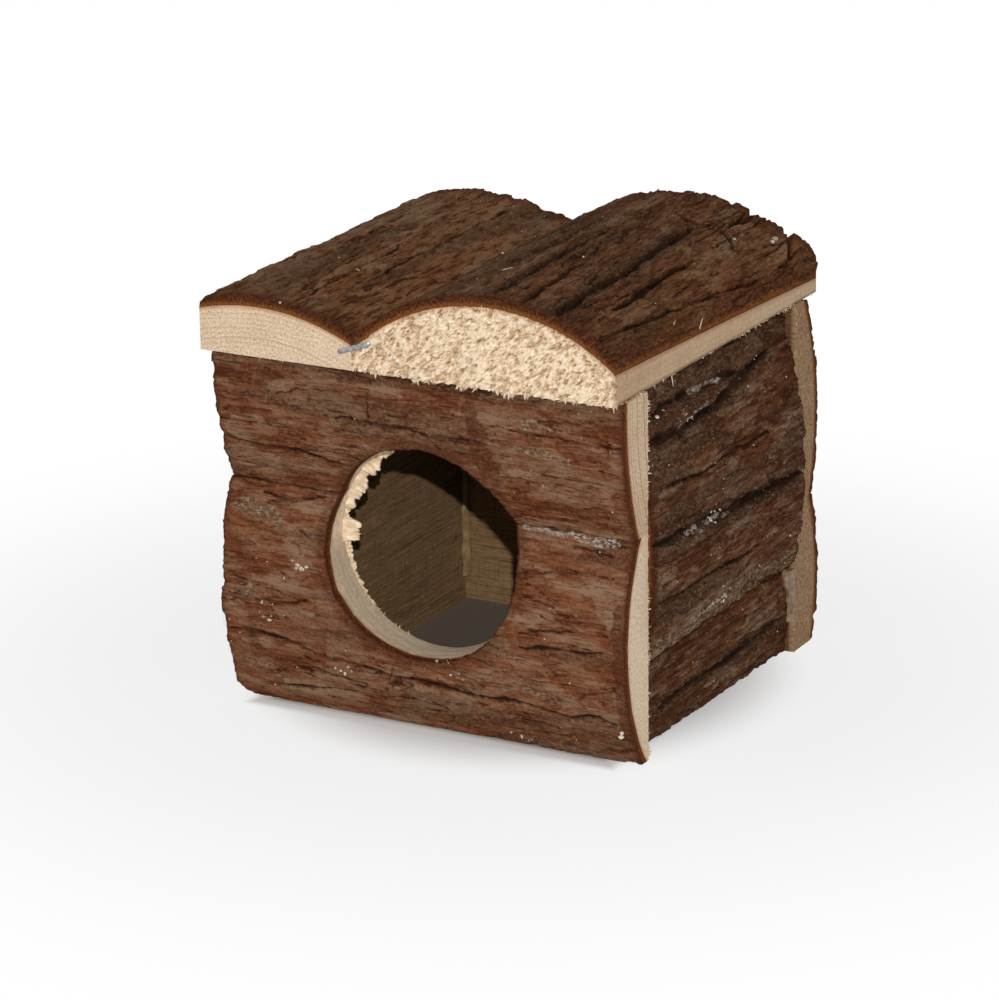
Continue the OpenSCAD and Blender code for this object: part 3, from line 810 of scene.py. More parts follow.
# How much lighter or darker than the others a slab's bark is: mostly its own tone, but the lower front slab
# is also lightened as painted light against the shade of its downward tilt
BARK_TONES_AND_PAINTED_LIGHT = {"roof_left": 0.26, "roof_right": -0.03, "front_lower": 0.12, "front_upper": -0.02,
          "right_lower": -0.08}


def mark_bark(slab, shell):
    world = points_of(shell)
    local = slab.lay_down(world)
    u, y, lift = slab.unroll(local)[:3]
    height, masks = bark_relief(slab, u, y)
    to_end = np.minimum(y, slab.length - y)
    fresh = np.exp(-to_end / 4.0) if slab.wall == "roof" else 0.8 * np.exp(-to_end / 1.4)
    if slab.name == "roof_right":
        from_side = slab.ends[0, 4] - local[:, 0]
        fresh = np.maximum(fresh, 0.5 * smooth(RED_EDGE, 0.3 * RED_EDGE, from_side))
    fresh = np.maximum(fresh, 0.6 * bands(RED_BANDS, slab, u, y))
    share = (np.minimum(height, lift - BARK) - DEEPEST) / (HIGHEST - DEEPEST)
    under = BARK + height - lift
    write(shell, "grain", np.stack([u, y, lift], 1))
    # Low relief darkens the bark in the finish as painted shade, and the per-slab offset also lightens the
    # lower front slab as painted light
    write(shell, "relief", share + BARK_TONES_AND_PAINTED_LIGHT.get(slab.name, 0))
    for key, values in masks.items():
        write(shell, key, values)
    write(shell, "lift", lift)
    write(shell, "cut", np.maximum(smooth(0.12, 0.5, under), in_entrance(slab, world, 0.9)))
    write(shell, "fresh", np.maximum(fresh, 0.5 * in_entrance(slab, world, 4.0)))


def mark_wood(slab, block):
    world = points_of(block)
    local = slab.lay_down(world)
    y, lift, from_pith = slab.unroll(local)[1:]
    near = 1 - smooth(0.4, 1.4, y)
    end = np.maximum(near, smooth(slab.length - 1.4, slab.length - 0.4, y))
    skin = 1 - smooth(0.3 * INSIDE_SKIN, INSIDE_SKIN, local[:, 2])
    if slab.wall in ("left", "right"):
        end = end * (1 - skin)
    bored = in_entrance(slab, world, 2.0)
    angle = np.arctan2(world[:, 2] - ENTRANCE_Z, world[:, 0]) % (2 * math.pi)
    torn = smooth(TORN_FROM - 0.1, TORN_FROM + 0.2, angle) * smooth(TORN_TO, TORN_TO - 0.3, angle)
    from_side = slab.ends[0, 4] - local[:, 0]
    side = smooth(0.9, 0.3, from_side) * (slab.name == "roof_right")
    overhang = smooth(OVERHANG, 0.7 * OVERHANG, np.minimum(y, slab.length - y)) * (slab.wall == "rear")
    # Sunken parts of the woolly end are painted darker in the finish: painted shade in its pits
    wool = near * smooth(-0.1, 0.6, y) * ((slab.name, 0) == WOOLLY_END)
    write(block, "grain", local)
    write(block, "pith", from_pith)
    write(block, "rim", -lift)
    write(block, "end", end)
    write(block, "bored", bored)
    write(block, "ripped", bored * torn)
    # The inner faces' darker colour is partly painted shade of the dim inside of the house
    write(block, "inside", skin * (1 - end))
    write(block, "ringed", np.full(len(y), RINGED.get(slab.name, PLAIN_RINGS)))
    write(block, "aged", np.maximum(overhang, 0.6 * side))
    write(block, "wool", wool)
    write(block, "woolly", WOOLLY.get(slab.name, 0) * near)


for name, slab in slabs.items():
    mark_bark(slab, bark_shells[name])
    mark_wood(slab, wood_slabs[name])
print("attributes on a shell:", [layer.name for layer in bark_shells["roof_left"].data.attributes])

# %% [markdown]
# ## Wire staples across the roof's valley
# A staple is driven into the end grain across the valley, where the two roof slabs meet. Staple
# wire is not round: the strip that staples are formed from is flattened, and the legs turn off the
# crown in a tight bend. A curve with a round bevel would miss that, so a rounded, flat section is
# swept along the legs and the crown, whose place and tilt are read from the CAD wire.

# %% Bend the staples
WIRE_WIDE = 1.15
WIRE_THICK = 0.75
BEND_R = 0.9
# How deep from the end face the crown's points lie, how long a stretch makes one of its tips, and how
# far the wire's middle is from the end face
CROWN_DEPTH = 0.6
CROWN_TIP = 0.55
WIRE_MIDDLE = 0.42


def staple_path(crown, out, leg):
    start, stop = crown
    run = (stop - start) / np.linalg.norm(stop - start)
    turn = np.linspace(0, math.pi / 2, 7)[:, None]
    first = start + run * BEND_R * (1 - np.sin(turn[::-1])) - out * BEND_R * (1 - np.cos(turn[::-1]))
    second = stop - run * BEND_R * (1 - np.sin(turn)) - out * BEND_R * (1 - np.cos(turn))
    straight = start + run * BEND_R + (stop - start - 2 * run * BEND_R) * np.linspace(0.1, 0.9, 9)[:, None]
    return np.concatenate([[start - out * leg], first, straight, second, [stop - out * leg]])


def sweep_wire(path, side, seed):
    turn = np.linspace(0, 2 * math.pi, 17)[:-1]
    flat = np.stack([np.sign(np.cos(turn)) * np.abs(np.cos(turn)) ** 0.6 * WIRE_WIDE / 2,
                     np.sign(np.sin(turn)) * np.abs(np.sin(turn)) ** 0.6 * WIRE_THICK / 2], 1)
    draws = np.random.default_rng(seed)
    work = Patchwork()
    ahead = np.gradient(path, axis=0)
    loops = []
    for point, way in zip(path, ahead / np.linalg.norm(ahead, axis=1)[:, None]):
        up = np.cross(side, way)
        nick = 1 + 0.05 * (draws.random((16, 1)) - 0.5)
        loops.append(work.add(point + flat[:, :1] * nick * side + flat[:, 1:] * nick * up))
    work.tube(loops)
    return work


def valley_staple(node, seed):
    points = node_points(node)
    face = np.sign(points[:, 1].mean()) * np.abs(points[:, 1]).max()
    crown = points[np.abs(points[:, 1] - face) < CROWN_DEPTH]
    out = np.array([0, np.sign(face), 0.0])
    ends = []
    for edge in (crown[:, 0].min(), crown[:, 0].max()):
        tip = crown[np.abs(crown[:, 0] - edge) < CROWN_TIP].mean(0)
        ends.append(np.array([tip[0], face - out[1] * WIRE_MIDDLE, tip[2]]))
    run = (ends[1] - ends[0]) / np.linalg.norm(ends[1] - ends[0])
    leg = np.ptp(points[:, 1]) - CROWN_DEPTH
    work = sweep_wire(staple_path(ends, out, leg), np.cross(run, out), seed)
    return work.piece(node + "_wire", sharp=50)


STAPLE_NODES = ("valley_staple_front", "valley_staple_rear")
staples = {node: valley_staple(node, 700 + at) for at, node in enumerate(STAPLE_NODES)}
print("staples:", [(name, len(wire.data.vertices)) for name, wire in staples.items()])

# %% [markdown]
# ## Glue in the corners
# The slabs are set in hot-melt glue, which cools in lumpy, shiny beads. The CAD has the beads as
# plain quarter rounds. Sculpting them anew could leave gaps to the wood, so a copy of each is
# remeshed finely and smoothed, and its surface is then swollen and sunk by noise along its length,
# which gives the lumps that a glue gun leaves.

# %% Lay the glue beads
BEAD_VOXEL = 0.35 * MM


def glue_beads(node, swell, seed):
    made = new_object(node + "_beads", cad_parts[node].data.copy())
    remesh = made.modifiers.new("remesh", "REMESH")
    remesh.mode = "VOXEL"
    remesh.voxel_size = BEAD_VOXEL
    relax = made.modifiers.new("relax", "SMOOTH")
    relax.iterations = 4
    bake_modifiers(made)
    bead = made.data
    points = points_of(made)
    normals = np.zeros(len(points) * 3)
    bead.vertices.foreach_get("normal", normals)
    lumps = fbm((points[:, 0] + points[:, 1]) / 5, points[:, 2] / 4 + points[:, 0] / 6, seed, 3) - 0.45
    moved = points + normals.reshape(-1, 3) * (swell * lumps)[:, None]
    bead.vertices.foreach_set("co", (moved * MM).ravel())
    bead.materials.clear()
    bead.shade_smooth()
    return made


glue = {"corner_glue": glue_beads("corner_glue", 1.1, 801),
        "roof_glue": glue_beads("roof_glue", 1.1, 811),
        "glue_squeeze_out": glue_beads("glue_squeeze_out", 2.0, 821)}
print("glue vertices:", [len(bead.data.vertices) for bead in glue.values()])

# %% [markdown]
# ## Torn fibres
# Nothing on this house is sanded. The blunt blade left wool on the right roof slab's front end, with
# tufts that hang below it, and sawn edges carry short fibres. Hair particles could do this, but they
# are not solid, so each fibre is a bent, tapered, three-sided spike, a small closed solid whose root
# sits in its wood.

# %% How fibres grow
# Share of a fibre's length and of its thickness, ring by ring
SPIKE_RINGS = ((0.0, 1.0), (0.4, 0.9), (0.75, 0.6), (1.0, 0.12))
SPIKE_SIDES = 3
# Fibres to a tuft on the woolly end, and number and fibres of the tufts that hang below it
TUFT = 3
HANGING_TUFTS = 70
HANGING_TUFT = 4


def fibres(name, roots, ways, lengths, thick, seed, curl=0.35):
    draws = np.random.default_rng(seed)
    count = len(roots)
    ways = ways / np.linalg.norm(ways, axis=1)[:, None]
    side = np.cross(ways, draws.normal(size=(count, 3)))
    side = side / np.linalg.norm(side, axis=1)[:, None]
    other = np.cross(ways, side)
    bend = draws.normal(0, curl, count) * lengths
    rings = []
    for share, girth in SPIKE_RINGS:
        middle = roots + ways * (lengths * share)[:, None] + side * (bend * share ** 2)[:, None]
        corners = [middle + (side * math.cos(turn) + other * math.sin(turn)) * (thick * girth)[:, None]
                   for turn in np.radians((0, 120, 240))]
        rings.append(np.stack(corners, 1))
    work = Patchwork()
    index = work.add(np.stack(rings, 1))
    for ring in range(len(SPIKE_RINGS) - 1):
        lower = index[:, ring]
        upper = index[:, ring + 1]
        for at in range(SPIKE_SIDES):
            beside = (at + 1) % SPIKE_SIDES
            quad = [lower[:, at], lower[:, beside], upper[:, beside], upper[:, at]]
            work.faces += np.stack(quad, 1).tolist()
    work.faces += index[:, 0, ::-1].tolist() + index[:, -1].tolist()
    made = work.piece(name)
    write(made, "tint", np.repeat(draws.random(count), SPIKE_SIDES * len(SPIKE_RINGS)))
    return made


def woolly_fibres(slab, tufts, seed):
    """Tufts over the near end of a slab, and longer ones that hang below its edge."""
    draws = np.random.default_rng(seed)
    crest, centre, radius, low, high = slab.at(0.0)
    x = np.repeat(draws.uniform(low + 0.5, high - 0.5, tufts), TUFT)
    top = centre + np.sqrt(radius ** 2 - (x - crest) ** 2) - 0.5
    z = np.repeat(draws.uniform(0, 1, tufts), TUFT) * top
    x = x + draws.normal(0, 0.2, len(x))
    z = np.clip(z + draws.normal(0, 0.2, len(x)), 0.1, None)
    roots = np.stack([x, 0.25 - end_relief(slab, 0, x, z), z], 1)
    lean = np.repeat(draws.normal(0, 0.5, (tufts, 3)) + (0.5, -0.8, 0.3), TUFT, 0)
    ways = lean + draws.normal(0, 0.25, (len(x), 3))
    lengths = draws.uniform(0.35, 0.9, len(x))
    count = HANGING_TUFTS * HANGING_TUFT
    hang_x = np.repeat(draws.uniform(low, high, HANGING_TUFTS), HANGING_TUFT) + draws.normal(0, 0.3, count)
    hang_x = np.clip(hang_x, low, high)
    hang = np.stack([hang_x, draws.uniform(0.1, 0.8, count), draws.uniform(0.2, 0.6, count)], 1)
    hang_ways = draws.normal(0, 0.4, (count, 3)) + (0.2, -0.5, -1.0)
    hang_lengths = draws.uniform(0.5, 1.2, count) * (0.3 + 1.6 * value_noise(hang_x / 2, 0 * hang_x, seed))
    roots = slab.stand_up(np.concatenate([roots, hang]))
    ways = np.concatenate([ways, hang_ways]) @ slab.axes
    lengths = np.concatenate([lengths, hang_lengths])
    thick = np.concatenate([draws.uniform(0.1, 0.2, len(x)), draws.uniform(0.15, 0.34, count)])
    return fibres(slab.name + "_wool", roots, ways, lengths, thick, seed)


def edge_fibres(name, slab, edge, way, each_mm, longest, seed):
    """Short fibres along a sawn edge, from one point of the lying slab to another."""
    draws = np.random.default_rng(seed)
    start, stop = np.array(edge)
    length = np.linalg.norm(stop - start)
    share = draws.random(int(length * each_mm))
    share = share[value_noise(share * length / 2.2, 0 * share, seed) > 0.45]
    count = len(share)
    roots = start + (stop - start) * share[:, None] + draws.normal(0, 0.08, (count, 3))
    ways = draws.normal(0, 0.6, (count, 3)) + way
    lengths = 0.15 + longest * draws.random(count) ** 4
    thick = draws.uniform(0.07, 0.17, count)
    return fibres(name, slab.stand_up(roots), ways @ slab.axes, lengths, thick, seed)


roof_right = slabs["roof_right"]
torn = [woolly_fibres(roof_right, 700, 901)]
print("wool fibres:", len(torn[0].data.vertices) // (SPIKE_SIDES * len(SPIKE_RINGS)))

# %% [markdown]
# ## The torn ledge in the entrance
# Where the hole saw broke through, the last millimetres of wood at the upper left were not cut but
# torn, and a ragged ledge of pale shreds stands into the hole. Loose fibres alone would look like a
# brush there, so the ledge is one solid: its reach into the hole is listed angle by angle,
# with the steps that the shreds have, and noise frays it. Short fibres then grow from its edge.

# %% Tear the ledge
# How far the ledge reaches into the entrance, in mm, at degrees counted from the right over the top
LEDGE_REACH = ((110, 0.2), (119, 1.4), (126, 1.8), (127, 1.1), (134, 2.5), (141, 2.6), (142, 1.7), (149, 3.1),
               (154, 3.3), (155, 2.2), (160, 2.7), (161, 1.5), (167, 1.9), (168, 0.8), (173, 0.9), (174, 3.6),
               (186, 3.9), (187, 1.0), (196, 0.9), (215, 0.6), (240, 0.2))
LEDGE_STEP = 0.35
LEDGE_FRONT = 9
LEDGE_BACK = 5


def torn_ledge(seed):
    turns = np.arange(LEDGE_REACH[0][0], LEDGE_REACH[-1][0], LEDGE_STEP)
    angle = np.radians(turns)[:, None]
    around = angle * ENTRANCE_R
    reach = np.interp(turns, *zip(*LEDGE_REACH))[:, None]
    reach = reach * (0.7 + 0.6 * fbm(around / 0.9, 0 * around, seed, 3))
    reach = reach + 0.5 * uneven(around / 0.5, 0 * around, seed + 5, 2)
    share = np.concatenate([np.linspace(0, 1, LEDGE_FRONT), np.linspace(1, 0, LEDGE_BACK)])[None, :]
    front = np.arange(share.size)[None, :] < LEDGE_FRONT
    inward = np.maximum(reach, 0.1) * share
    thick = (0.5 + 1.5 * np.minimum(reach, 2) / 2) * (1 - 0.65 * share)
    rough = 0.7 * uneven(around / 0.8, inward / 0.7 + 3, seed + 10, 3)
    y = np.where(front, INSIDE_Y - 0.15 - np.maximum(thick + rough, 0.1), INSIDE_Y - 0.1)
    radius = ENTRANCE_R + 0.9 - inward * (1 + 0.9 / np.maximum(reach, 0.9))
    work = Patchwork()
    work.tube(work.add(round_entrance(radius, y, angle)))
    made = work.piece("entrance_torn_ledge")
    write(made, "tint", (2.2 * fbm(around / 0.7, inward / 0.9, seed + 20, 3) - 0.5).ravel())
    return made


def entrance_fibres(count, seed):
    """Short fibres on the edge of the torn ledge and down the left of the entrance."""
    draws = np.random.default_rng(seed)
    turns = draws.uniform(112, 250, count)
    angle = np.radians(turns)
    reach = np.interp(turns, *zip(*LEDGE_REACH))
    out = np.stack([np.cos(angle), 0 * angle, np.sin(angle)], 1)
    roots = out * (ENTRANCE_R + 0.3 - 0.9 * reach * draws.random(count))[:, None] + (0, 0, ENTRANCE_Z)
    roots[:, 1] = INSIDE_Y - 0.4 - draws.random(count) * 0.6
    ways = -out * 0.8 + (0, -0.2, 0) + draws.normal(0, 0.45, (count, 3))
    lengths = 0.25 + 0.7 * draws.random(count) ** 2
    thick = draws.uniform(0.08, 0.2, count)
    return fibres("entrance_fibres", roots, ways, lengths, thick, seed)


torn += [torn_ledge(915), entrance_fibres(420, 911)]
print("torn pieces in the entrance:", [(piece.name, len(piece.data.vertices)) for piece in torn[1:]])

# %% [markdown]
# ## Fibres on the sawn edges
# A saw leaves short fibres where it comes out of the wood: along the inner edges of the front and rear
# slabs' right ends, along the roof's right side and under the left roof slab's front end. A rough
# line in the finish would not break the outline there, so the same spikes serve, mostly very short.

# %% Fringe the edges
# Slab, its end, the way that the fibres point, how many to a millimetre, the longest, and the seed
END_EDGES = (
    ("front_lower", 0, (0, -0.6, -1), 8.0, 1.0, 921), ("front_upper", 0, (0, -0.6, -1), 8.0, 1.0, 922),
    ("rear_lower", 1, (0, 0.6, -1), 1.2, 0.5, 931), ("rear_upper", 1, (0, 0.6, -1), 1.2, 0.5, 932),
)
EDGE_INSET = 0.1
LEFT_FRINGE = 24
for name, end, *fringe in END_EDGES:
    slab = slabs[name]
    y = slab.length - EDGE_INSET if end else EDGE_INSET
    edge = [(x, y, 0.15) for x in slab.ends[end, 3:]]
    torn.append(edge_fibres(name + "_edge_fibres", slab, edge, *fringe))
side_x = roof_right.ends[0, 4] - EDGE_INSET
edge = [(side_x, 0, 0.15), (side_x, roof_right.length - 4, 0.15)]
torn.append(edge_fibres("roof_edge_fibres", roof_right, edge, (0.5, 0, -1), 4.0, 0.9, 941))
roof_left = slabs["roof_left"]
valley_x = roof_left.ends[0, 4]
edge = [(valley_x - LEFT_FRINGE, EDGE_INSET, 0.2), (valley_x, EDGE_INSET, 0.2)]
torn.append(edge_fibres("roof_left_edge_fibres", roof_left, edge, (0, -0.6, -1), 3.0, 0.9, 951))
print("pieces of torn wood:", len(torn))

# %% [markdown]
# ## Splinters, crumbs and drops
# A few things lie on the bark: long pale splinters from the saw, crumbs of wood and dried resin, and
# small drops whose pale colour is a painted highlight for the light that they catch. They are what the eye
# takes for reality in such a rough object. A texture of specks would have no shadow, so each is a small
# solid, seated on the bark's own relief.

# %% Scatter what lies on the bark
def on_bark(slab, u, y, rise=0.0):
    u = np.asarray(u, float)
    y = np.asarray(y, float)
    crest, centre, radius = slab.at(y / slab.length)[:3]
    reach = radius + BARK + bark_relief(slab, u, y)[0] + rise
    angle = u / (radius + BARK)
    return slab.stand_up(np.stack([crest + reach * np.sin(angle), y, centre + reach * np.cos(angle)], -1))


# Slab, place across and along, run of the splinter across, along and out, and its half thickness
SPLINTERS = [
    ("roof_left", 7.0, 33.6, (2.6, -2.4, 0.5), 0.24), ("roof_left", 6.5, 0.4, (0.9, -0.6, 0.4), 0.3),
    ("roof_right", -9.1, 25.7, (1.0, 3.2, 0.3), 0.38), ("roof_right", 13.7, 59.5, (0.6, 2.6, 0.3), 0.22),
    ("roof_right", 37.0, 40.2, (0.2, 0.8, 2.8), 0.16), ("roof_right", 33.2, 32.0, (0.2, 0.9, 1.2), 0.12),
    ("front_upper", -15.5, 24.0, (0.9, -0.7, 0.3), 0.1),
    ("front_upper", -18.2, 21.5, (-0.9, -0.5, 0.2), 0.14),
]
# How far a splinter's root lies over the bark
SPLINTER_SEAT = -0.2
# Place along, run and half thickness of the splinters at the roof's right lower edge
EDGE_SPLINTERS = [(28.0, (0.5, 0.3, -3.0), 0.17), (14.0, (0.4, -0.9, -1.5), 0.14),
                  (66.0, (0.4, 0.5, -1.2), 0.13)]


def splinters(seed):
    roots = [on_bark(slabs[name], u, y, SPLINTER_SEAT) for name, u, y, _, _ in SPLINTERS]
    runs = [np.array(run) @ slabs[name].axes for name, _, _, run, _ in SPLINTERS]
    thick = [row[-1] for row in SPLINTERS + EDGE_SPLINTERS]
    for along, run, _ in EDGE_SPLINTERS:
        roots.append(roof_right.stand_up(np.array([roof_right.ends[0, 4] - 0.2, along, 0.3])))
        runs.append(np.array(run))
    runs = np.array(runs)
    lengths = np.linalg.norm(runs, axis=1)
    return fibres("splinters", np.array(roots), runs, lengths, np.array(thick), seed, 0.08)


OCTAHEDRON = np.array([(1, 0, 0), (0, 1, 0), (-1, 0, 0), (0, -1, 0), (0, 0, 1), (0, 0, -1)], float)
OCTAHEDRON_FACES = np.array([(0, 1, 4), (1, 2, 4), (2, 3, 4), (3, 0, 4),
                             (1, 0, 5), (2, 1, 5), (3, 2, 5), (0, 3, 5)])
# Slab, place across and along, size and number of the larger crumbs that lie together
CRUMB_HEAPS = [
    ("front_lower", 7.9, 84.7, 0.75, 7), ("front_lower", -4.8, 95.3, 0.6, 6),
    ("front_lower", -16.5, 73.5, 0.6, 7), ("front_lower", -10.5, 44.8, 0.55, 5),
    ("front_lower", -27.2, 29.1, 0.5, 4), ("right_upper", 28, 55, 0.5, 10),
    ("right_upper", 2, 48, 0.5, 10), ("right_upper", 31.5, 68, 0.6, 3), ("right_upper", -20, 40, 0.5, 8),
]
# Number of the small crumbs strewn over a slab
CRUMBS_OVER = {"front_lower": 40, "front_upper": 25, "right_upper": 80, "right_lower": 18, "roof_left": 14,
               "roof_right": 22}


def crumbs(seed):
    draws = np.random.default_rng(seed)
    places = []
    sizes = []
    for name, u, y, size, count in CRUMB_HEAPS:
        places.append(on_bark(slabs[name], u + draws.normal(0, 1.1, count), y + draws.normal(0, 1.6, count)))
        sizes.append(size * draws.uniform(0.4, 1.2, count))
    for name, count in CRUMBS_OVER.items():
        slab = slabs[name]
        crest, _, _, low, high = slab.at(0.5)
        u = draws.uniform(low - crest + 1, high - crest - 1, count)
        y = draws.uniform(1, slab.length - 1, count)
        spot = on_bark(slab, u, y)
        clear = np.hypot(spot[:, 0], spot[:, 2] - ENTRANCE_Z) > ENTRANCE_R + 1.5
        keep = clear | (slab.wall != "front")
        places.append(spot[keep])
        sizes.append(0.14 + 0.3 * draws.random(count)[keep] ** 3)
    places = np.concatenate(places)
    sizes = np.concatenate(sizes)
    corners = OCTAHEDRON * draws.uniform(0.5, 1.1, (len(places), 6, 1))
    corners = corners + draws.normal(0, 0.15, (len(places), 6, 3))
    work = Patchwork()
    index = work.add(places[:, None] + corners * sizes[:, None, None])
    work.faces += index[:, OCTAHEDRON_FACES].reshape(-1, 3).tolist()
    made = work.piece("bark_crumbs", sharp=20)
    write(made, "tint", np.repeat(draws.random(len(places)), 6))
    return made


# Slab, place across and along, and radius of the drops
GLUE_DROPS = [
    ("roof_right", 27.3, 99.6, 0.75), ("roof_right", 27.6, 97.6, 0.55), ("front_lower", -21.6, 2.9, 0.65),
    ("front_lower", -20.2, 2.4, 0.5), ("right_upper", 31.6, 69.5, 0.6), ("roof_right", 22.0, 86.5, 0.5),
]


def glue_drops(seed):
    made = bpy.data.meshes.new("glue_drops")
    work = bmesh.new()
    for number, (name, u, y, size) in enumerate(GLUE_DROPS):
        drop = bmesh.ops.create_icosphere(work, subdivisions=3, radius=1.0)["verts"]
        points = np.array([vertex.co[:] for vertex in drop])
        lumps = 0.8 + 0.4 * fbm(points[:, 0] * 1.5 + 5 * number, points[:, 1] * 1.5 + points[:, 2], seed, 2)
        spot = on_bark(slabs[name], u, y, 0.1 * size)
        for vertex, point in zip(drop, spot + points * (lumps * size)[:, None] * (1, 1, 0.85)):
            vertex.co = point * MM
    work.to_mesh(made)
    work.free()
    made.shade_smooth()
    return new_object("glue_drops", made)


torn.append(splinters(961))
bark_crumbs = crumbs(971)
pale_drops = glue_drops(981)
print("crumbs:", len(bark_crumbs.data.vertices) // 6, "drops:", len(GLUE_DROPS))

# %% [markdown]
# ## Nodes from Python expressions
# A shader is easier to read as a formula than as a web of nodes. The class below wraps a socket, so
# that an expression such as 1 - mask * 0.5 adds its Math nodes by itself. Every other node comes
# from one method that takes the node's type, its settings and what goes into its sockets.

# %% The socket class
class Wire:
    """One socket on its way through a material's nodes."""

    def __init__(self, tree, socket=None):
        self.tree = tree
        self.socket = socket

    def node(self, kind, settings=None, inputs=None, out=0):
        made = self.tree.nodes.new(kind)
        for key, value in (settings or {}).items():
            if key == "stops":
                while len(made.color_ramp.elements) < len(value):
                    made.color_ramp.elements.new(1.0)
                for stop, (place, colour) in zip(made.color_ramp.elements, value):
                    stop.position = place
                    stop.color = paint(*colour)
            else:
                setattr(made, key, value)
        for key, value in (inputs or {}).items():
            self.fill(made.inputs[key], value)
        return Wire(self.tree, made.outputs[out])

    def fill(self, socket, value):
        """Links a wire to a socket, or sets a constant on it."""
        if isinstance(value, Wire):
            self.tree.links.new(value.socket, socket)
        else:
            socket.default_value = value

    def maths(self, operation, *values):
        return self.node("ShaderNodeMath", {"operation": operation}, dict(enumerate(values)))

    def __add__(self, other):
        return self.maths("ADD", self, other)

    def __sub__(self, other):
        return self.maths("SUBTRACT", self, other)

    def __rsub__(self, other):
        return self.maths("SUBTRACT", other, self)

    def __mul__(self, other):
        return self.maths("MULTIPLY", self, other)

    def __truediv__(self, other):
        return self.maths("DIVIDE", self, other)

    def __pow__(self, other):
        return self.maths("POWER", self, other)

    __radd__ = __add__
    __rmul__ = __mul__

    def between(self, low, high):
        settings = {"interpolation_type": "SMOOTHSTEP"}
        return self.node("ShaderNodeMapRange", settings, {"Value": self, "From Min": low, "From Max": high})

    def scaled(self, *sizes):
        return self.node("ShaderNodeVectorMath", {"operation": "MULTIPLY"}, {0: self, 1: sizes})

    def noise(self, sizes, detail=3.0, rough=0.55, out=0):
        inputs = {"Vector": self.scaled(*sizes), "Scale": 1.0, "Detail": detail, "Roughness": rough}
        return self.node("ShaderNodeTexNoise", {}, inputs, out)

    def attribute(self, name, out="Fac"):
        return self.node("ShaderNodeAttribute", {"attribute_name": name}, {}, out)

    def shades(self, *stops):
        """A colour ramp of places from 0 to 1, each with its colour as it is seen on a screen."""
        return self.node("ShaderNodeValToRGB", {"stops": stops}, {"Fac": self})

    def blend(self, one, two, kind="MIX"):
        """Two colours or wires mixed by this wire."""
        settings = {"data_type": "RGBA", "blend_type": kind, "clamp_factor": True}
        return self.node("ShaderNodeMix", settings, {0: self, 6: linear(one), 7: linear(two)}, 2)


def paint(red, green, blue):
    """A colour as it is seen on a screen, 0 to 255, in the linear values that nodes use."""
    shares = [value / 255 for value in (red, green, blue)]
    return tuple(s / 12.92 if s <= 0.04045 else ((s + 0.055) / 1.055) ** 2.4 for s in shares) + (1.0,)


def linear(colour):
    """A colour of three values in linear ones. One of four is linear already, and a wire stays a wire."""
    return paint(*colour) if isinstance(colour, tuple) and len(colour) == 3 else colour


def finish(name, recipe, *choices):
    """A material whose main shader has the sockets that a recipe names filled."""
    material = bpy.data.materials.new(name)
    material.use_nodes = True
    tree = Wire(material.node_tree)
    shader = material.node_tree.nodes["Principled BSDF"]
    for socket, value in recipe(tree, *choices).items():
        tree.fill(shader.inputs[socket], value)
    return material


print("a mid brown in linear values:", [round(value, 3) for value in paint(110, 75, 55)])

# %% [markdown]
# ## The bark finish
# Bark colour follows its relief, and its low parts are painted darker as painted shade. The cork layer is
# reddish brown, granular, flaky and stroked along the grain, the scales on it are greyer and smoother and
# edged by painted shadow under their lips, furrows are dark and cracks almost black, and weathered bands are
# grey with pale crumbs in them. Where the bark has been cut or broken, fresh reddish cork shows, with amber
# next to the wood. One painted texture for each slab would be tied to a map, so one recipe, mixed from the
# masks, serves all slabs. The roof, the side walls and the redder front wall have palettes of their own, and
# the thin left roof slab its own, broader mottling.

# %% Bark finish
BARK_PALETTES = {
    "front": {"crack": (38, 20, 12), "hollow": (58, 36, 24), "deep": (68, 38, 23), "cork": (104, 60, 37),
              "flush": (131, 80, 52), "scale": (111, 80, 58), "grey": (136, 107, 83), "old": (98, 79, 61),
              "fresh": (110, 57, 33)},
    "side": {"crack": (24, 13, 7), "hollow": (43, 28, 17), "deep": (56, 31, 18), "cork": (88, 52, 32),
             "flush": (114, 69, 44), "scale": (95, 67, 47), "grey": (132, 110, 88), "old": (86, 67, 49),
             "fresh": (98, 54, 31)},
    "roof": {"crack": (22, 11, 6), "hollow": (42, 26, 15), "deep": (60, 34, 19), "cork": (95, 59, 37),
             "flush": (123, 80, 51), "scale": (104, 73, 50), "grey": (128, 100, 74), "old": (84, 65, 46),
             "fresh": (122, 68, 37)},
}
BARK_PALETTES["thin_roof"] = BARK_PALETTES["roof"]
# How drawn out along the grain the mottling is, and the strength of its streaks and of its broad patches
BARK_GRIT = {"front": (0.9, 0.8, 0.9), "side": (0.8, 1.2, 0.4), "roof": (0.5, 1.0, 0.0),
             "thin_roof": (0.4, 2.4, 1.4)}
PALE_CRUMB = (214, 202, 184)
AMBER = (158, 100, 52)
PALE_BARK = ((108, 86, 64), (166, 146, 120))
CHALK = ((124, 108, 94), (196, 186, 176))
BARK_BUMP = 0.4 * MM


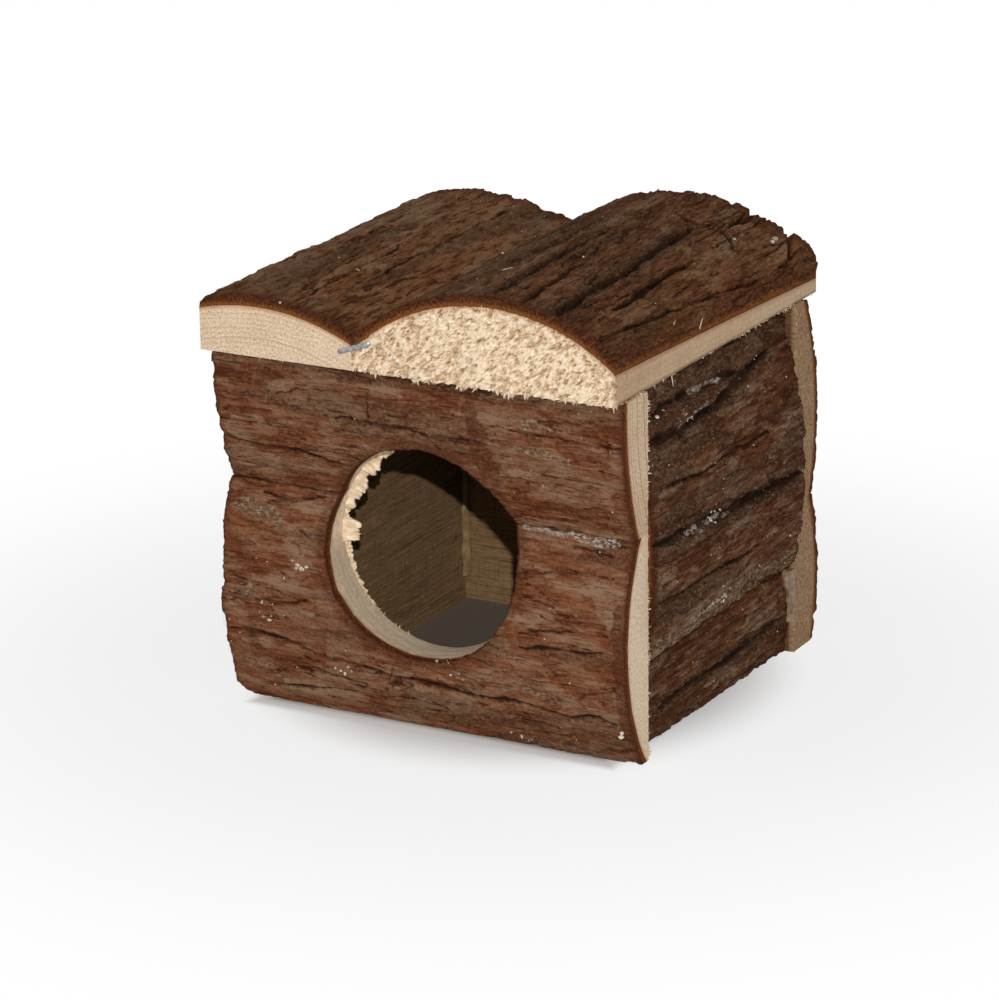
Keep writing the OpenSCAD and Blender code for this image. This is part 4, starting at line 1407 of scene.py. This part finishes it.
def bark_recipe(tree, palette, along, streaky, patchy):
    grain = tree.attribute("grain", "Vector")
    scales = tree.attribute("scales")
    weather = tree.attribute("weather")
    fine = grain.noise((1.9, 1.1 * along, 1.9), 4, 0.75)
    streak = grain.noise((1.5, 0.13, 0.8), 4, 0.7)
    patches = grain.noise((0.24, 0.08, 0.2), 4, 0.65)
    crumbly = grain.noise((1.5, 0.9 * along, 1.5), 4, 0.75)
    strokes = grain.noise((2.4, 0.2, 1.5), 3, 0.6)
    # Flakes: cells drawn out along the grain, their outlines bent by noise
    drawn_out = grain.scaled(0.8, 0.2, 0.8)
    waver = grain.noise((0.9, 0.4, 0.9), 3, 0.7, "Color").scaled(1.6, 1.6, 1.6)
    bent = tree.node("ShaderNodeVectorMath", {"operation": "ADD"}, {0: drawn_out, 1: waver})
    flake = tree.node("ShaderNodeTexVoronoi", {}, {"Vector": bent, "Scale": 1.0}, "Color")
    flake = tree.node("ShaderNodeSeparateColor", {}, {"Color": flake})
    # Cork and scales
    light = (fine - 0.5) * 1.5 + ((streak - 0.5) * 1.5 + (flake - 0.5) * 0.32) * streaky
    # Lower relief is painted darker: painted shade in the bark's hollows
    light = light + (tree.attribute("relief") - 0.78) * 0.9 + 0.5
    light = light + (patches - 0.5) * patchy
    light = light - strokes.between(0.57, 0.66) * 0.4 + strokes.between(0.42, 0.34) * 0.22
    red = light.shades((0.08, palette["deep"]), (0.5, palette["cork"]), (0.92, palette["flush"]))
    tan = light.shades((0.08, palette["deep"]), (0.46, palette["scale"]), (0.92, palette["grey"]))
    body = (patches * 3.2 - 1.4 + scales * 0.4 + (flake - 0.5) * 0.5).blend(red, tan)
    # Weathered and pale bands, furrows, cracks, and painted shadow under the scales' lips
    old = crumbly.shades((0.32, palette["crack"]), (0.44, palette["deep"]), (0.55, palette["old"]),
                         (0.7, palette["grey"]))
    body = (weather * (streak * 3.0 - 0.9)).blend(body, old)
    pale = crumbly.shades((0.38, palette["deep"]), (0.5, PALE_BARK[0]), (0.64, PALE_BARK[1]))
    body = (tree.attribute("pale") * (streak * 3.0 - 0.9)).blend(body, pale)
    body = (tree.attribute("furrow") * (0.6 + fine * 0.5)).blend(body, palette["hollow"])
    opened = (tree.attribute("opened") + (fine - 0.5) * 0.9).between(0.25, 0.9)
    body = (opened * 0.85).blend(body, palette["crack"])
    # Fresh cork where the bark is cut or broken, with resin next to the wood
    granules = (fine - 0.5) * 2.2 + (crumbly - 0.5) * 0.8 + 0.5
    granules = granules.shades((0.0, palette["hollow"]), (0.4, palette["deep"]), (0.95, palette["fresh"]))
    resin = (1.5 - tree.attribute("lift") + (crumbly - 0.5) * 3.0).between(0.0, 1.6)
    granules = (resin * 0.75).blend(granules, (fine * 1.6 - 0.3).blend(palette["fresh"], AMBER))
    broken = (tree.attribute("fresh") * 1.3 + (crumbly - 0.5) * 1.6 - 0.2).between(0.0, 0.9)
    body = tree.maths("MAXIMUM", tree.attribute("cut"), broken).blend(body, granules)
    # Chalky streaks and crumbs
    chalky = (fine * 1.3 + crumbly * 0.9 - 0.75).between(0.26, 0.46)
    dried = crumbly.shades((0.35, CHALK[0]), (0.7, CHALK[1]))
    body = (tree.attribute("chalk") * chalky).blend(body, dried)
    specks = grain.noise((1.5, 0.9, 1.5), 1).between(0.76, 0.8)
    body = (specks * (0.1 + weather * 0.5)).blend(body, PALE_CRUMB)
    height = fine * 0.9 + streak * 0.7 + weather * crumbly * 0.8
    bump = tree.node("ShaderNodeBump", {}, {"Strength": 1.0, "Distance": BARK_BUMP, "Height": height})
    return {"Base Color": body, "Roughness": 0.95 - scales * 0.15 - fine * 0.2, "Normal": bump,
            "Specular IOR Level": 0.03}


bark_finishes = {key: finish("bark_" + key, bark_recipe, palette, *BARK_GRIT[key])
                 for key, palette in BARK_PALETTES.items()}
print("bark finishes:", sorted(bark_finishes))

# %% [markdown]
# ## The sawn wood finish
# The wood is young pine or spruce. Its growth rings run round the pith, no two of them alike, so the
# same solid pattern gives arcs on the ends and long lines on the faces, as a real board does. A wood
# texture laid on each face would not meet at the edges. Next to the bark runs a thin amber line,
# where the resin is. The inner faces are darker, partly the wood's own tone and partly painted shade of the
# dim inside, with saw marks across the grain, the bored hole is smooth and pale where it is not torn, the
# woolly end has bright tufts with tan painted between them and darker sunken pits, as painted shade, and the
# rear wall's ends and the roof's side are darkened, partly by age and partly as painted shade.

# %% Wood finish
RING_PITCH = 1.15
TUFT_LEAN = 0.64
WOOD_BUMP = 0.3 * MM


def wood_recipe(tree):
    grain = tree.attribute("grain", "Vector")
    end = tree.attribute("end")
    ringed = tree.attribute("ringed")
    fibre = grain.noise((1.9, 0.05, 1.9), 4, 0.65)
    blotch = grain.noise((0.12, 0.03, 0.12), 3)
    grit = grain.noise((1.9, 0.4, 1.9), 4, 0.8)
    saw_lines = grain.noise((0.1, 1.3, 0.1), 2)
    # Growth rings, each with a strength of its own
    ring_place = tree.attribute("pith") / RING_PITCH + grain.noise((0.06, 0.012, 0.06), 2) * 1.4
    year = tree.maths("FLOOR", ring_place)
    vigour = tree.node("ShaderNodeTexWhiteNoise", {"noise_dimensions": "1D"}, {"W": year})
    late = tree.maths("FRACT", ring_place) ** 2.5 * (0.2 + vigour * 1.1)
    # Sawn faces along the grain
    stipple = (grain.noise((1.6, 1.0, 1.6), 4, 0.8) - 0.5) * 1.6
    face = (blotch * 0.6 + fibre * 0.4 + stipple).shades(
        (0.1, (190, 160, 128)), (0.5, (220, 194, 163)), (0.9, (240, 219, 192)))
    face = (late * 0.3).blend(face, (176, 138, 96))
    face = (saw_lines.between(0.5, 0.75) * 0.3).blend(face, (184, 152, 116))
    fuzz = grain.noise((0.5, 2.2, 2.0), 3, 0.7).between(0.56, 0.72)
    face = (fuzz * 0.5).blend(face, (238, 220, 194))
    # Inner faces, darker: partly the wood's own tone, partly painted shade of the dim inside
    inner = ((fibre - 0.5) * 1.5 + (grit - 0.5) * 1.1 + blotch * 0.6 + 0.2).shades(
        (0.15, (78, 56, 33)), (0.5, (122, 94, 61)), (0.9, (146, 118, 84)))
    marks = saw_lines.between(0.45, 0.7) * blotch.between(0.42, 0.58)
    inner = (marks * 0.5).blend(inner, (80, 60, 38))
    face = tree.attribute("inside").blend(face, inner)
    # End grain
    cross = ((grit - 0.5) * 2.4 + blotch * 0.3 + 0.37).shades(
        (0.1, (150, 118, 86)), (0.35, (186, 158, 128)), (0.6, (214, 190, 161)), (0.9, (236, 217, 193)))
    cross = (late * ringed).blend(cross, (152, 110, 68))
    pits = grain.noise((0.8, 0.4, 0.8), 2).between(0.66, 0.71)
    cross = (pits * 0.7).blend(cross, (112, 78, 50))
    body = end.blend(face, cross)
    # The woolly end, its tufts leaning to one side, with painted shade in its sunken pits
    lean = {"Vector": grain, "Angle": TUFT_LEAN}
    leaning = tree.node("ShaderNodeVectorRotate", {"rotation_type": "Y_AXIS"}, lean)
    tufts = leaning.noise((0.9, 0.8, 1.9), 3, 0.75)
    woolly = ((tufts - 0.5) * 2.2 - tree.attribute("wool") * 0.45 + 0.58).shades(
        (0.05, (128, 94, 60)), (0.25, (190, 158, 122)), (0.5, (224, 201, 171)), (0.85, (240, 223, 200)))
    body = tree.attribute("woolly").blend(body, woolly)
    # The bored hole and what is torn in it
    bored = (fibre * 0.8 + grit * 0.5 - 0.1).shades((0.3, (168, 145, 118)), (0.75, (206, 187, 161)))
    body = tree.attribute("bored").blend(body, bored)
    shreds = ((grit - 0.5) * 2.4 + 0.6).shades(
        (0.1, (150, 116, 82)), (0.4, (214, 188, 154)), (0.8, (240, 222, 194)))
    body = tree.attribute("ripped").blend(body, shreds)
    # Resin next to the bark, and the darkening of the rear wall's ends and the roof's side, partly age and
    # partly painted shade
    resin = tree.attribute("rim").between(1.5, 0.0)
    body = (resin * resin * (0.4 + ringed * 0.4)).blend(body, (160, 104, 56))
    stain_and_shade = (grit * 1.4 - 0.2).blend((150, 128, 106), (208, 192, 172))
    body = tree.attribute("aged").blend(body, stain_and_shade, "MULTIPLY")
    height = (fibre * 0.5 + saw_lines * 0.6 + fuzz * 0.3) * (1 - end) + end * grit * 0.9
    bump = tree.node("ShaderNodeBump", {}, {"Strength": 0.7, "Distance": WOOD_BUMP, "Height": height})
    return {"Base Color": body, "Roughness": 0.72 + fibre * 0.2, "Normal": bump, "Specular IOR Level": 0.3}


def loose_recipe(tree, dark, pale):
    """Torn fibres or crumbs: one shade to each, with a little mottling."""
    place = tree.node("ShaderNodeTexCoord", {}, {}, "Object")
    mottle = place.noise((1500, 1500, 1500), 2)
    body = (tree.attribute("tint") * 0.8 + mottle * 0.4 - 0.1).blend(dark, pale)
    return {"Base Color": body, "Roughness": 0.8 + mottle * 0.1, "Specular IOR Level": 0.3}


sawn_wood = finish("sawn_softwood", wood_recipe)
torn_wood = finish("torn_softwood", loose_recipe, (190, 158, 120), (236, 217, 190))
crumb_wood = finish("dry_crumbs", loose_recipe, (150, 126, 100), (226, 214, 196))
print("wood finish nodes:", len(sawn_wood.node_tree.nodes))

# %% [markdown]
# ## Wire and glue finishes
# The staples are galvanised: a dull grey zinc skin with faint patches, brighter where the former
# rubbed it. The glue is a cloudy, slightly amber plastic with a smooth skin. It is made with a
# little subsurface light rather than clear glass, because thick hot-melt is more milky than clear.
# What is squeezed out has picked up dirt, the beads inside are close to the wood's own shade, and the
# drops on the bark are painted pale, a painted highlight for the light that they catch.

# %% Wire and glue finishes
def zinc_recipe(tree):
    place = tree.node("ShaderNodeTexCoord", {}, {}, "Object")
    spangle = place.noise((900, 900, 900), 3)
    rub = place.noise((2600, 500, 2600), 2)
    body = spangle.between(0.35, 0.65).blend((128, 130, 132), (176, 178, 180))
    return {"Base Color": body, "Roughness": 0.28 + rub * 0.3, "Metallic": 1.0}


def glue_recipe(tree, dark, pale):
    place = tree.node("ShaderNodeTexCoord", {}, {}, "Object")
    cloud = place.noise((320, 320, 320), 3)
    body = cloud.between(0.35, 0.7).blend(dark, pale)
    return {"Base Color": body, "Roughness": 0.06 + cloud * 0.12, "Coat Weight": 0.3,
            "Subsurface Weight": 0.4, "Subsurface Radius": (0.003, 0.002, 0.0012)}


zinc = finish("galvanised_wire", zinc_recipe)
hot_glue = finish("hot_melt_glue", glue_recipe, (92, 68, 46), (144, 120, 92))
inner_glue = finish("inner_glue", glue_recipe, (120, 96, 64), (150, 124, 88))
# The drops' pale colour is a painted highlight for the light that they catch
dried_drops = finish("dried_drops", glue_recipe, (148, 126, 102), (210, 198, 180))
print("finishes:", [material.name for material in bpy.data.materials if material.users == 0])

# %% [markdown]
# ## Putting the pieces on the frame
# Every piece rides on the house's one body and gets its material, so that it can be repainted later. The
# slabs, bark, staples and glue also hide the CAD node whose place they take.
# Joining all pieces into one mesh would be quicker, but nothing could then be told apart again.

# %% Dress the frame
def seat_piece(piece, material, node=None):
    piece.data.materials.clear()
    piece.data.materials.append(material)
    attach(piece, "root")
    if node:
        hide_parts(node)


# Which bark palette a wall's slabs have, and the slab that has one of its own
PALETTE_OF = {"front": "front", "rear": "front", "left": "side", "right": "side", "roof": "roof",
              "roof_left": "thin_roof"}
for name, slab in slabs.items():
    bark = bark_finishes[PALETTE_OF.get(name, PALETTE_OF[slab.wall])]
    seat_piece(bark_shells[name], bark, name + "_bark")
    seat_piece(wood_slabs[name], sawn_wood, name + "_slab")
for node, wire in staples.items():
    seat_piece(wire, zinc, node)
for node, bead in glue.items():
    seat_piece(bead, hot_glue if node == "glue_squeeze_out" else inner_glue, node)
for piece in torn:
    seat_piece(piece, torn_wood)
seat_piece(bark_crumbs, crumb_wood)
seat_piece(pale_drops, dried_drops)
print("pieces on the frame:", len(slabs) * 2 + len(staples) + len(glue) + len(torn) + 2)

# %% [markdown]
# ## Floor and world
# The house stands on a plain white floor. The floor takes its shadow as any diffuse surface does,
# but the camera, glossy and transmitted rays see it lifted towards white, and past its edge they
# see a white world. A picture of a studio could light the house too, but nothing in the photograph
# calls for one. Inside the house the floor is painted dark, as painted shade, and not lifted, because little
# light gets there.

# %% Floor and world
# All in metres from the middle of the house: half the floor's side, where its inside, painted dark as painted
# shade, turns white, where it begins to be lifted, and where the near and the far part of the lift come in
FLOOR_HALF = 3
SHADE_PAINTED_INSIDE = (0.041, 0.046)
LIFT_OUTSIDE = (0.046, 0.05)
LIFT_NEAR = (0.045, 0.07)
LIFT_FAR = (0.08, 0.22)
FLOOR_LIFT = 0.72
SHADE_PAINTED_FLOOR = (0.16, 0.13, 0.1, 1)
WHITE_FLOOR = (0.92, 0.92, 0.92, 1)
WHITE = (1, 1, 1, 1)
WORLD_LIGHT = 0.34


def seen_directly(tree):
    path = tree.node("ShaderNodeLightPath", {}, {}, "Is Camera Ray")
    glossy = tree.node("ShaderNodeLightPath", {}, {}, "Is Glossy Ray")
    through = tree.node("ShaderNodeLightPath", {}, {}, "Is Transmission Ray")
    return path.maths("MAXIMUM", path.maths("MAXIMUM", path, glossy), through)


def mix_shaders(tree, factor, one, two, target):
    mixed = tree.node("ShaderNodeMixShader", {}, {0: factor, 1: one, 2: two})
    tree.tree.links.new(mixed.socket, target)


floor_mesh = bpy.data.meshes.new("floor")
corners = [(x * FLOOR_HALF, y * FLOOR_HALF, 0) for x, y in ((-1, -1), (1, -1), (1, 1), (-1, 1))]
floor_mesh.from_pydata(corners, [], [(0, 1, 2, 3)])
floor = new_object("floor", floor_mesh)
floor_finish = bpy.data.materials.new("white_floor")
floor_finish.use_nodes = True
floor_finish.node_tree.nodes.clear()
tree = Wire(floor_finish.node_tree)
place = tree.node("ShaderNodeNewGeometry", {}, {}, "Position")
from_house = tree.node("ShaderNodeVectorMath", {"operation": "LENGTH"}, {0: place}, "Value")
reach = tree.node("ShaderNodeVectorMath", {"operation": "ABSOLUTE"}, {0: place})
sides = [tree.node("ShaderNodeSeparateXYZ", {}, {0: reach}, axis) for axis in ("X", "Y")]
box = tree.maths("MAXIMUM", *sides)
# The floor inside the house is painted dark: painted shade
pale = box.between(*SHADE_PAINTED_INSIDE).blend(SHADE_PAINTED_FLOOR, WHITE_FLOOR)
matt = tree.node("ShaderNodeBsdfDiffuse", {}, {"Color": pale})
white = tree.node("ShaderNodeEmission", {}, {"Color": WHITE, "Strength": 1.0})
ground = floor_finish.node_tree.nodes.new("ShaderNodeOutputMaterial")
lift = from_house.between(*LIFT_NEAR) * FLOOR_LIFT + from_house.between(*LIFT_FAR) * (1 - FLOOR_LIFT)
lift = lift * box.between(*LIFT_OUTSIDE)
mix_shaders(tree, seen_directly(tree) * lift, matt, white, ground.inputs["Surface"])
floor_mesh.materials.append(floor_finish)

world = bpy.data.worlds.new("studio")
bpy.context.scene.world = world
world.use_nodes = True
world.node_tree.nodes.clear()
tree = Wire(world.node_tree)
dim = tree.node("ShaderNodeBackground", {}, {"Color": WHITE, "Strength": WORLD_LIGHT})
plain = tree.node("ShaderNodeBackground", {}, {"Color": WHITE, "Strength": 1.0})
sky = world.node_tree.nodes.new("ShaderNodeOutputWorld")
mix_shaders(tree, seen_directly(tree), dim, plain, sky.inputs["Surface"])
print("floor and world ready")

# %% [markdown]
# ## Light and camera
# Inside the entrance the photograph shows the shadow of its upper edge, a thin arc on the inner wall.
# So the key light is a small lamp close to the camera's axis, a little above it, and a weak, broad
# fill light from the left opens the shadows. The camera's place was worked out from the slabs' edges
# in the photograph: 28.6 degrees to the right of the front and 18.2 degrees up. Aiming it at the
# house by eye would leave the slabs' edges beside those in the photograph.

# %% Lights and camera
CAMERA = {"azimuth": 28.59, "elevation": 18.21, "roll": -0.79, "away": 1030.27, "right": -5.87, "up": 40.77}
LENS = 154.08
SENSOR = 36
TARGET = Vector((0, 0, 0.05))
# Place in metres, size and power
LIGHTS = {"key_light": ((0.63, -1.13, 0.575), 0.015, 14), "fill_light": ((-1.2, -0.6, 0.5), 0.8, 1.0)}


def soft_light(name, place, size, power):
    lamp = bpy.data.lights.new(name, "AREA")
    lamp.shape = "DISK"
    lamp.size = size
    lamp.energy = power
    made = new_object(name, lamp)
    made.location = place
    made.rotation_euler = (TARGET - made.location).to_track_quat("-Z", "Y").to_euler()


for name, settings in LIGHTS.items():
    soft_light(name, *settings)
azimuth, elevation, roll = (math.radians(CAMERA[key]) for key in ("azimuth", "elevation", "roll"))
level = math.cos(elevation)
right = Vector((math.cos(azimuth), math.sin(azimuth), 0))
back = Vector((math.sin(azimuth) * level, -math.cos(azimuth) * level, math.sin(elevation)))
up = back.cross(right)
rolled_right = right * math.cos(roll) + up * math.sin(roll)
rolled_up = up * math.cos(roll) - right * math.sin(roll)
camera = new_object("camera", bpy.data.cameras.new("camera"))
camera.data.lens = LENS
camera.data.sensor_width = SENSOR
camera.data.clip_end = 20
place = (rolled_right * CAMERA["right"] + rolled_up * CAMERA["up"] + back * CAMERA["away"]) * MM
camera.matrix_world = Matrix((rolled_right, rolled_up, back)).transposed().to_4x4()
camera.location = place
bpy.context.scene.camera = camera
bpy.context.scene.view_settings.view_transform = "Standard"
print("camera at", [round(value, 3) for value in place])
